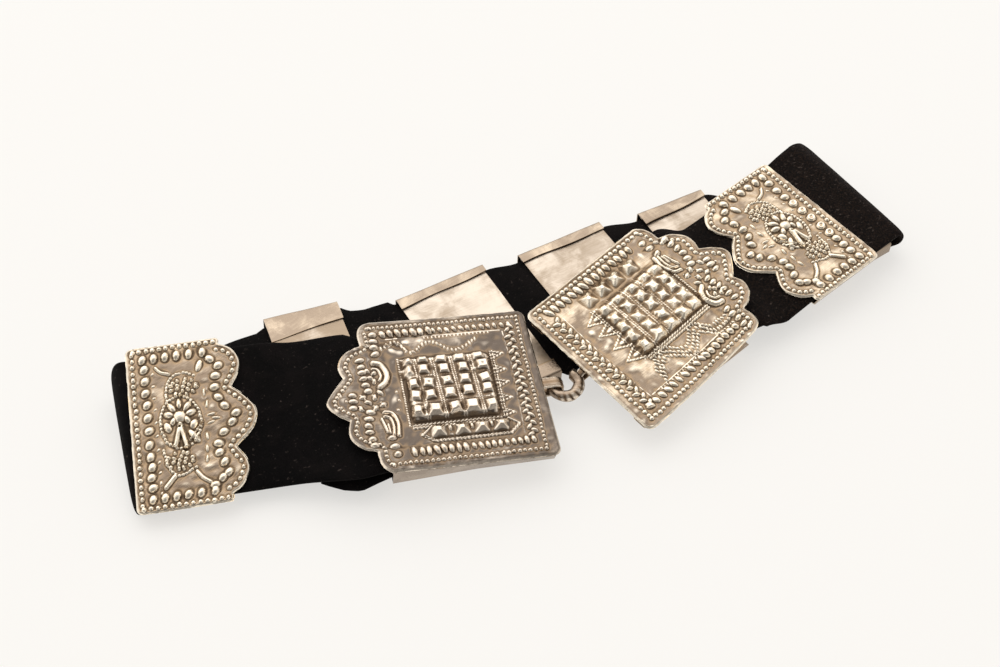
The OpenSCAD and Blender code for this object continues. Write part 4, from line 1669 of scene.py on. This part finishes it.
    def build(self, worked: Material, plain: Material) -> list[Piece]:
        """Builds the wrap's two pieces and puts them on the belt.

        Args:
            worked: The finish of the sheet that goes round.
            plain: The finish of the backing sheet.

        Returns:
            The two pieces.
        """
        shell = show(f"wrap_{self.number}_shell", [self.shell()], worked)
        sheet = show(f"wrap_{self.number}_sheet", [self.sheet()], plain)
        put_on(shell, f"back_wrap_{self.number}_front")
        put_on(sheet, f"back_wrap_{self.number}_back")
        return [shell, sheet]


PLATES = (
    (BucklePlate("left_buckle", LEFT_BUCKLE, Hand.MIRRORED, replace(BUCKLE_OUTLINE, skew=(0.0, -2.6)), seed=3,
                 tarnish=0.78, dull_start=0.4, wall_lean=2.0, flap=7.1, spread=((1.6, 2.8), (0.3, 0.3))),
     "dark_silver"),
    (BucklePlate("right_buckle", RIGHT_BUCKLE, Hand.UPSIDE_DOWN, replace(BUCKLE_OUTLINE, skew=(-1.5, 0.0)),
                 seed=8, tarnish=0.8, wall_lean=2.2, flap=6.9, flare=1.8, spread=((2.4, -1.7), (1.2, 1.2)),
                 boss=(29.4, 70.4, -21.5, 14.4), boss_rise=2.1, columns=(30.8, 40.6, 50.1, 58.9, 66.4),
                 rows=(9.8, 2.8, -3.9, -10.9, -17.9), column_lean=0.0, pyramid=3.8, flat_top=0.34, sag=1.1,
                 band=(29.9, 39.4, 48.7, 58.9), band_c=-27.9, tray=False, leaf=(4, 4.6, 8.4), bead_pitch=2.9,
                 edges=(38.2, -39.4, 33.0, -35.2), oval=1.25, low_ovals=(4.2, 2.4), rim=(1.0, 0.7),
                 strokes=(-3.1, 0.0, 3.0),
                 zigzag=((74.0, 28.0), (64.0, 27.0), (57.0, 19.6), (46.0, 26.4), (34.0, 17.4), (25.0, 26.0))),
     "worked_silver"),
    (SmallPlate("left_plate", LEFT_PLATE, Hand.AS_DRAWN, replace(SMALL_OUTLINE, skew=(-1.0, -1.0)), seed=12,
                cell=0.32, tarnish=0.8, spread=((2.2, 2.2), (1.8, 0.4))),
     "worked_silver"),
    (SmallPlate("right_plate", RIGHT_PLATE, Hand.MIRRORED, replace(SMALL_OUTLINE, skew=(-2.0, -1.6)), seed=17,
                cell=0.32, tarnish=0.62, spread=((0.9, 0.9), (0.6, 0.6)), ring_beads=True, bead_pitch=2.95),
     "worked_silver"),
)
WRAPS = (
    BackWrap(1, Pose(-106.0, -38.2, 7.6, 21.5, 3.3, -1.0), 39.0, (16.0, 11.5), tarnish=0.95),
    BackWrap(2, Pose(-33.5, -22.0, 6.6, 30.5, 1.0, 0.0), 51.0, (6.5, 4.5), tarnish=0.26),
    BackWrap(3, Pose(29.5, 9.8, 7.5, 31.0, 1.6, -1.0), 50.5, (5.5, 5.5), tarnish=0.48),
    BackWrap(4, Pose(93.0, 40.7, 6.9, 29.5, 2.0, -1.0), 40.5, (9.0, 5.0), True, tarnish=0.55),
    BackWrap(5, Pose(147.9, 62.7, 6.2, 35.0, 0.0, 0.0), 45.0, (8.0, 8.0), half=38.8),
)


@dataclass(frozen=True)
class Section:
    """A cut across the strap.

    Attributes:
        far: The middle of its far edge, in mm.
        near: The middle of its near edge.
        ahead: The strap's direction of travel.
        thick: Its thickness.
    """

    far: Array
    near: Array
    ahead: Array
    thick: float


@dataclass(frozen=True)
class Give:
    """How far the soft strap's edges stray at one place.

    Attributes:
        at: The name of the place, where the strap enters or leaves a plate or wrap.
        back: How many cuts before the place it starts to stray.
        full: How many cuts past the place it strays fully.
        ahead: How many cuts past the place it has come back.
        far: How far the far edge goes outwards and upwards, in mm.
        near: How far the near edge goes outwards and upwards.
    """

    at: str
    back: int
    full: int
    ahead: int
    far: Spot = (0.0, 0.0)
    near: Spot = (0.0, 0.0)


GIVES = (
    Give("leaves left buckle", 2, 1, 10, (3.4, 3.0), (2.2, 0.6)),
    Give("leaves left plate", 1, 8, 24, (1.6, 0.6), (-1.6, 0.4)),
    Give("reaches wrap 1", 8, -1, 1, (-3.6, -0.4)),
    Give("leaves wrap 1", 1, 2, 9, (-3.2, -0.4)),
    Give("reaches wrap 2", 9, -1, 1, (4.4, 0.8)),
    Give("leaves wrap 2", 1, 2, 9, near=(4.0, 0.0)),
    Give("leaves wrap 5", 1, 10, 30, (5.2, 0.8), (1.8, 0.0)),
    Give("leaves right fold", 18, -1, 9, (4.6, 1.0)),
    Give("reaches right buckle", 24, -1, 1, near=(3.0, 0.0)),
)


@dataclass
class VelvetStrap:
    """The padded velvet strap, from inside the left buckle round the back to the right buckle.

    Attributes:
        width: Its width, in mm.
        thick: Its thickness.
        corners: Points round a cut of the strap.
        bend_steps: Cuts in a stretch between two plates or wraps, and one more.
        fold_steps: Cuts in a fold, and one more.
    """

    width: float = 76.5
    thick: float = 4.0
    corners: int = 64
    bend_steps: int = 14
    fold_steps: int = 30

    def section(self, pose: Pose, x: float, travel: int) -> Section:
        """Cuts the strap where a plate or wrap holds it.

        Args:
            pose: How it is held.
            x: The cut's place along the plate or wrap, in mm.
            travel: The sign of the strap's direction of travel there.

        Returns:
            The cut.
        """
        half = self.width / 2
        return Section(pose.place(np.array([x, half, 0.0])), pose.place(np.array([x, -half, 0.0])),
                       travel * pose.turn()[:, 0], self.thick)

    def held(self, pose: Pose, start: float, end: float, travel: int) -> list[Section]:
        """Cuts a stretch that lies flat in a wrap or plate."""
        steps = max(round(abs(end - start) / 5.0), 2)
        return [self.section(pose, x, travel) for x in np.linspace(start, end, steps + 1)]

    def bend(self, one: Section, two: Section) -> list[Section]:
        """Leads the strap smoothly from one cut to the next.

        Args:
            one: The cut that it comes from.
            two: The cut that it goes to.

        Returns:
            The cuts between them.
        """
        out = []
        for t in np.arange(1, self.bend_steps) / self.bend_steps:
            edges = []
            for p, q in ((one.far, two.far), (one.near, two.near)):
                reach = np.linalg.norm(q - p)
                edges.append((2 * t ** 3 - 3 * t * t + 1) * p + (t ** 3 - 2 * t * t + t) * reach * one.ahead
                             + (3 * t * t - 2 * t ** 3) * q + (t ** 3 - t * t) * reach * two.ahead)
            out.append(Section(edges[0], edges[1], unit(one.ahead + two.ahead),
                               one.thick * (1 - t) + two.thick * t))
        return out

    def fold(self, one: Section, two: Section, far_bulge: float, near_bulge: float) -> list[Section]:
        """Leads the strap round a fold.

        Args:
            one: The cut that it comes from.
            two: The cut that it goes to.
            far_bulge: How far the far edge bulges out, in mm.
            near_bulge: How far the near edge does.

        Returns:
            The cuts between them.
        """
        out = []
        for t in np.arange(1, self.fold_steps) / self.fold_steps:
            edges = []
            for p, q, bulge in ((one.far, two.far, far_bulge), (one.near, two.near, near_bulge)):
                way = unit(one.ahead * (1 - t) - two.ahead * t)
                edges.append((p + q) / 2 + (p - q) / 2 * math.cos(math.pi * t)
                             + bulge * math.sin(math.pi * t) * way)
            out.append(Section(edges[0], edges[1], one.ahead * (1 - t) + two.ahead * t,
                               one.thick * (1 - t) + two.thick * t))
        return out

    def sections(self) -> list[Section]:
        """Lays the whole strap.

        Returns:
            All cuts along it, in order.
        """
        left = self.held(LEFT_BUCKLE, -6, -88, -1)
        small = self.held(LEFT_PLATE, 61, 0, -1)
        heading = math.radians(28)
        way = np.array([math.cos(heading), math.sin(heading), 0.0])
        down = np.array([1.0, 1.0, 0.0])
        landed = [Section(small[-1].far * down + [0, 0, 1.3] + run * way,
                          small[-1].near * down + [0, 0, 1.3] + run * way, way, 2.6)
                  for run in np.linspace(0, 18, 5)]
        right_small = self.held(RIGHT_PLATE, 20, -61, -1)
        right = self.held(RIGHT_BUCKLE, 88, 6, -1)
        places = {"leaves left buckle": len(left) - 1}
        cuts = [*left, *self.bend(left[-1], small[0]), *small]
        places["leaves left plate"] = len(cuts) - 1
        cuts += [*self.fold(small[-1], landed[0], 9, 1.8), *landed]
        for wrap in WRAPS:
            held = self.held(wrap.pose, -1.5, wrap.length + 1.5, 1)
            cuts += self.bend(cuts[-1], held[0])
            places[f"reaches wrap {wrap.number}"] = len(cuts)
            cuts += held
            places[f"leaves wrap {wrap.number}"] = len(cuts) - 1
        cuts += self.fold(cuts[-1], right_small[0], 8.6, 4.8)
        places["leaves right fold"] = len(cuts)
        cuts += right_small
        cuts += self.bend(cuts[-1], right[0])
        places["reaches right buckle"] = len(cuts)
        cuts += right
        for give in GIVES:
            cuts = self.given(cuts, places[give.at], give)
        return cuts

    @staticmethod
    def given(cuts: Sequence[Section], place: int, give: Give) -> list[Section]:
        """Lets the strap's edges stray at one place.

        Args:
            cuts: The cuts.
            place: The index of the cut at the place.
            give: How the edges stray.

        Returns:
            The new cuts.
        """
        start, full = place - give.back, place + give.full
        share = np.interp(range(len(cuts)), [start, full, place + give.ahead], [0, 1, 0])
        share = share * share * (3 - 2 * share)
        out = []
        for s, w in zip(cuts, share):
            across, up = unit(s.far - s.near), np.array([0.0, 0.0, 1.0])
            out.append(Section(s.far + w * (give.far[0] * across + give.far[1] * up),
                               s.near + w * (give.near[1] * up - give.near[0] * across), s.ahead, s.thick))
        return out

    def profile(self) -> tuple[Array, Array]:
        """Draws the outline of a cut.

        Returns:
            For each corner, how far across and how far up it lies, from -1 to 1.
        """
        t = np.arange(self.corners) / self.corners * math.tau
        across = np.sign(np.cos(t)) * np.abs(np.cos(t)) ** 0.42
        up = np.sign(np.sin(t)) * np.abs(np.sin(t)) ** 0.5
        return across, up

    def band(self, cuts: Sequence[Section], shift: Iterable[Spot], name: str,
             inset: float = 0.0) -> Mesh:
        """Makes the band through the cuts.

        Args:
            cuts: The cuts.
            shift: For each cut, how far the band's middle lies above the strap's, and its thickness.
            name: The mesh's name.
            inset: How far it stays inside the strap's edges.

        Returns:
            The mesh.
        """
        middle = np.array([(s.far + s.near) / 2 for s in cuts])
        ahead = np.gradient(middle, axis=0)
        across_dir = unit(np.array([s.far - s.near for s in cuts]))
        up_dir = unit(np.cross(across_dir, ahead))
        half = np.array([np.linalg.norm(s.far - s.near) / 2 for s in cuts]) - inset
        offset, thick = np.array(list(shift)).T
        across, up = self.profile()
        run = np.concatenate([[0], np.cumsum(np.linalg.norm(np.diff(middle, axis=0), axis=1))])
        tube, ring, place = make_tube(len(cuts), self.corners)
        wave = unevenness(run[ring], across[place] * 38, 16.0, 5) * np.sign(up[place]) * 0.12
        u = half[ring] * across[place]
        v = offset[ring] + thick[ring] / 2 * up[place] - np.abs(wave)
        write(tube, world(middle[ring] + across_dir[ring] * u[:, None] + up_dir[ring] * v[:, None]))
        close_up(tube)
        return to_mesh(tube, name, 70)

    def tail_cuts(self, cuts: Sequence[Section]) -> tuple[list[Section], list[Spot]]:
        """Lays the turned-back end of the strap.

        Args:
            cuts: The strap's own cuts.

        Returns:
            Its cuts, and for each how far its middle lies above the strap's, and its thickness.
        """
        inside = [self.section(LEFT_BUCKLE, -a, -1) for a in (46.0, 60.0, 76.0, 84.0)]
        first = len(self.held(LEFT_BUCKLE, -6, -88, -1))
        up = np.array([0.0, 0.0, 1.0])
        drops = (0.0, 0.0, 0.3, 0.9, 1.15, 1.2, 1.1, 1.0, 0.75, 0.5, 0.2)
        loose = [replace(cut, near=cut.near - (3.4 * unit(cut.far - cut.near) + 2.4 * up) * drop)
                 for cut, drop in zip([*inside, *cuts[first:first + 7]], drops)]
        thick = [0.5, 1.2, 2.3, 2.3, 2.2, 2.1, 2.0, 1.7, 1.4, 1.0, 0.5]
        top = -2.3
        return loose, [(top - t / 2, t) for t in thick]

    def build(self, finish: Material) -> list[Piece]:
        """Builds the strap and its turned-back end.

        Args:
            finish: Their material.

        Returns:
            The two pieces.
        """
        cuts = self.sections()
        band = self.band(cuts, ((0.0, s.thick) for s in cuts), "velvet_strap")
        strap = show("velvet_strap", [band], finish)
        tail_cuts, shift = self.tail_cuts(cuts)
        tail = show("velvet_strap_end", [self.band(tail_cuts, shift, "velvet_strap_end", 1.2)], finish)
        for piece, node in ((strap, "strap"), (tail, "strap_tail")):
            put_on(piece, node)
        return [strap, tail]


@dataclass
class Clasp:
    """The thick open ring and the two strip eyes that hold it.

    Attributes:
        ring_radius: From the ring's middle to the middle of its wire, in mm.
        wire: The thickness of the wire that the eyes are made for.
        ring_centre: The ring's middle.
        ring_dip: How far it is turned about its length, in degrees.
        arc: Where the ring starts and ends, in degrees from the right.
        ring_wire: The ring's own wire at its thickest.
    """

    ring_radius: float = 6.9
    wire: float = 4.4
    ring_centre: Point = (32.3, -39.9, 10.5)
    ring_dip: float = 7.0
    arc: Spot = (158.0, 432.0)
    ring_wire: float = 5.9

    def ring(self) -> Mesh:
        """Makes the open ring, with slanting cuts chased into its outside.

        Returns:
            The mesh.
        """
        rings, corners = 120, 28
        tube, ring, place = make_tube(rings, corners)
        t = ring / (rings - 1)
        angle = np.radians(self.arc[0] + t * (self.arc[1] - self.arc[0]))
        round_it = place / corners * math.tau
        cut = 0.5 + 0.5 * np.cos(17 * angle + 1.5 * round_it + unevenness(ring * 0.3, place * 0.5, 5.0, 4))
        outer = np.clip(np.cos(round_it - 0.2), 0, 1)
        outer *= np.clip((t - 0.25) * 4, 0, 1) * np.clip((0.8 - t) * 4, 0, 1)
        ends = np.clip(t * 2.0, 0.0, 1) ** 0.5 * np.clip((1 - t) * 22, 0.02, 1) ** 0.5
        r = self.ring_wire / 2 * np.where(t < 0.5, 0.5 + 0.5 * ends, ends) * (1 - 0.06 * cut ** 4 * outer)
        r = r * (1 - 0.05 * unevenness(ring * 0.4, place * 1.0, 4.0, 3))
        x = (self.ring_radius + r * np.cos(round_it)) * np.cos(angle)
        y = (self.ring_radius + r * np.cos(round_it)) * np.sin(angle)
        z = r * np.sin(round_it)
        dip = Pose(*self.ring_centre, roll=self.ring_dip)
        write(tube, world(dip.place(np.stack([x, y, z], -1))))
        note(tube, hollow=cut ** 4 * outer * 0.7, proud=(1 - cut) * outer * 0.35, flap=0.0,
             tarnish=0.5 + 0.3 * unevenness(ring * 0.5, place * 1.0, 5.0, 9))
        close_up(tube)
        return to_mesh(tube, "clasp_ring", 70)

    def eye(self, pose: Pose, away: int, y: float, start: float, end: float, width: float,
            strip: float, tarnish: float) -> Mesh:
        """Makes a loop of rounded strip, a long oval from the side.

        Args:
            pose: The buckle's pose.
            away: The sign of the direction out of the buckle, along the strap.
            y: Its place across the strap.
            start: Where its inner end is, measured outwards.
            end: Where its outer end is.
            width: The strip's width.
            strip: The strip's thickness.
            tarnish: How dark it is, from 0 to 1.

        Returns:
            The mesh.
        """
        hole = self.wire + 1.4
        r = hole / 2 + strip / 2
        top = FACE_Z - 2.8
        rings, corners = 96, 20
        straight = max(end - start - 2 * r - strip, 0.5)
        length = 2 * straight + math.tau * r
        run = np.arange(rings + 1) / rings * length
        # How far the path has turned, and the middle of the turn that it is on
        first = np.clip(run - straight, 0, math.pi * r)
        angle = (first + np.clip(run - 2 * straight - math.pi * r, 0, None)) / r
        middle = np.clip(run, 0, straight) - np.clip(run - straight - math.pi * r, 0, straight)
        nx, nz = np.sin(angle), np.cos(angle)
        px, pz = middle + r * nx, r * nz
        tube, ring, place = make_tube(rings + 1, corners, closed=True)
        t = place / corners * math.tau
        u = np.sign(np.cos(t)) * np.abs(np.cos(t)) ** 0.75 * width / 2
        v = np.sin(t) * strip / 2 * (1 - 0.22 * np.cos(u / width * math.tau * 1.5) ** 8)
        inner = start + strip / 2 + r
        x = away * (inner + px[ring] + nx[ring] * v)
        z = top - strip / 2 - r + pz[ring] + nz[ring] * v
        write(tube, world(pose.place(np.stack([x, y + u, z], -1))))
        groove = 0.5 + 0.5 * np.cos(u / width * math.tau * 2)
        note(tube, hollow=groove * 0.3, proud=(np.abs(u) > width * 0.42) * 0.3, flap=0.0, tarnish=tarnish)
        close_up(tube)
        return to_mesh(tube, "clasp_eye", 60)

    def build(self, finish: Material) -> list[Piece]:
        """Builds the ring and the eyes.

        Args:
            finish: Their material.

        Returns:
            The three pieces.
        """
        pieces = []
        for name, mesh in (("clasp_ring", self.ring()),
                           ("left_eye", self.eye(LEFT_BUCKLE, 1, 0.8, -1.6, 12.8, 6.2, 1.8, 0.6)),
                           ("right_eye", self.eye(RIGHT_BUCKLE, -1, 2.5, -6.5, 3.4, 4.0, 1.4, 1.1))):
            piece = show("silver_" + name, [mesh], finish)
            put_on(piece, name)
            pieces.append(piece)
        return pieces


@dataclass(frozen=True)
class Lamp:
    """A square soft light that points at the belt.

    Attributes:
        name: Its name.
        place: Where it hangs, in metres.
        size: Its side, in metres.
        glow: How bright its face is, where the table's white is about 1.
        colour: Its colour.
    """

    name: str
    place: Point
    size: float
    glow: float
    colour: Colour = (1.0, 0.985, 0.96)


@dataclass(frozen=True)
class Sky:
    """A soft bright or dark part of the room.

    Attributes:
        toward: The direction in which it lies.
        inner: The cosine of the angle within which it is full.
        outer: The cosine of the angle at which it ends.
        colour: What it adds to the room's own light.
    """

    toward: Point
    inner: float
    outer: float
    colour: Colour


@dataclass
class Studio:
    """The pale table, the soft lights, the room round them and the camera.

    Attributes:
        lamps: The soft lights.
        room: The colour of the room's own light.
        parts_of_room: The brighter and darker parts of the room.
        aim: The point that lights and camera point at, in metres.
        elevation: The camera's angle above the table, in degrees.
        distance: From the camera to the aim, in metres.
        tilt: The camera's turn about its own axis, in degrees.
        lens: The camera's focal length, in mm.
    """

    lamps: Sequence[Lamp] = (
        Lamp("key", (-0.16, 0.88, 1.48), 1.70, 0.56),
    )
    room: Colour = (0.84, 0.815, 0.785)
    parts_of_room: Sequence[Sky] = (
        Sky((-0.10, 0.52, 0.85), 0.90, 0.30, (0.36, 0.355, 0.345)),
        Sky((0.0, -0.82, 0.57), 0.96, 0.10, (-0.56, -0.545, -0.525)),
        Sky((-0.75, 0.25, 0.45), 0.92, 0.40, (0.36, 0.355, 0.34)),
    )
    aim: Point = (-0.0123, -0.0039, 0.0)
    elevation: float = 51.2
    distance: float = 0.823
    tilt: float = 0.7
    lens: float = 57.67

    def table(self) -> Piece:
        """Makes the table top, which isn't part of the belt.

        Returns:
            The table.
        """
        sheet = make_grid(2, 2)
        bmesh.ops.scale(sheet, vec=(8, 8, 1), verts=sheet.verts)
        s = Shader("pale_table")
        s.fix({"Base Color": (0.34, 0.333, 0.323, 1.0), "Emission Color": (1.0, 0.985, 0.955, 1.0),
               "Emission Strength": 0.622, "Roughness": 0.7, "Specular IOR Level": 0.15})
        table = show("table", [to_mesh(sheet, "table")], s.material)
        return table

    def hang_lamps(self) -> None:
        """Hangs the soft lights."""
        for lamp in self.lamps:
            data = bpy.data.lights.new(lamp.name, "AREA")
            data.size = lamp.size
            data.energy = lamp.glow * math.pi * lamp.size ** 2
            data.color = lamp.colour
            obj = bpy.data.objects.new(lamp.name, data)
            obj.location = lamp.place
            obj.rotation_euler = (Vector(self.aim) - obj.location).to_track_quat("-Z", "Y").to_euler()
            bpy.context.scene.collection.objects.link(obj)

    def paint_room(self) -> None:
        """Paints the room round the table, brighter and darker by direction."""
        around = bpy.data.worlds.new("room")
        around.use_nodes = True
        bpy.context.scene.world = around
        nodes = NodeTree(around.node_tree)
        toward = nodes.add("ShaderNodeTexCoord").outputs["Generated"]
        colour = self.room
        for part in self.parts_of_room:
            facing = nodes.add("ShaderNodeVectorMath", operation="DOT_PRODUCT")
            nodes.feed(facing.inputs[0], toward)
            nodes.feed(facing.inputs[1], Vector(part.toward).normalized())
            share = nodes.ranged(facing.outputs["Value"], part.outer, part.inner)
            add = nodes.add("ShaderNodeVectorMath", operation="MULTIPLY_ADD")
            for socket, value in zip(add.inputs, (share, part.colour, colour)):
                nodes.feed(socket, value)
            colour = add.outputs["Vector"]
        nodes.feed(nodes.tree.nodes["Background"].inputs["Color"], colour)

    def camera(self) -> None:
        """Sets the camera at the photograph's angle."""
        e, roll = math.radians(self.elevation), math.radians(self.tilt)
        right, up = Vector((1, 0, 0)), Vector((0, math.sin(e), math.cos(e)))
        forward = Vector((0, math.cos(e), -math.sin(e)))
        x = math.cos(roll) * right + math.sin(roll) * up
        y = math.cos(roll) * up - math.sin(roll) * right
        data = bpy.data.cameras.new("camera")
        data.lens = self.lens
        data.sensor_width = 36.0
        data.sensor_fit = "HORIZONTAL"
        data.clip_start = 0.01
        obj = bpy.data.objects.new("camera", data)
        turn = Matrix((x, y, -forward)).transposed()
        obj.matrix_world = Matrix.Translation(Vector(self.aim) - self.distance * forward) @ turn.to_4x4()
        bpy.context.scene.collection.objects.link(obj)
        bpy.context.scene.camera = obj

    def build(self) -> None:
        """Sets up the whole studio."""
        self.table()
        self.hang_lamps()
        self.paint_room()
        self.camera()
        view = bpy.context.scene.view_settings
        view.view_transform = "Standard"
        view.look = "None"


def main() -> None:
    """Builds the belt and the studio, and notes the sizes."""
    logging.basicConfig(level=logging.INFO, format="%(name)s: %(message)s")
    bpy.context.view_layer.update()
    finishes = (DARK_SILVER, WORKED_SILVER, PLAIN_SILVER, CLASP_SILVER, Velvet())
    material = {finish.name: finish.make() for finish in finishes}
    pieces = [plate.build(material[slot], slot) for plate, slot in PLATES]
    for wrap in WRAPS:
        pieces += wrap.build(material["worked_silver"], material["plain_silver"])
    pieces += VelvetStrap().build(material["black_velvet"])
    pieces += Clasp().build(material["clasp_silver"])
    for piece in pieces:
        LOG.info("%s: %d faces", piece.name, len(piece.data.polygons))
    for plate, _ in PLATES:
        back = frame["nodes"][plate.name + "_back"]
        back.data.materials.clear()
        back.data.materials.append(material["plain_silver"])
    Studio().build()


if __name__ == "__main__":
    main()
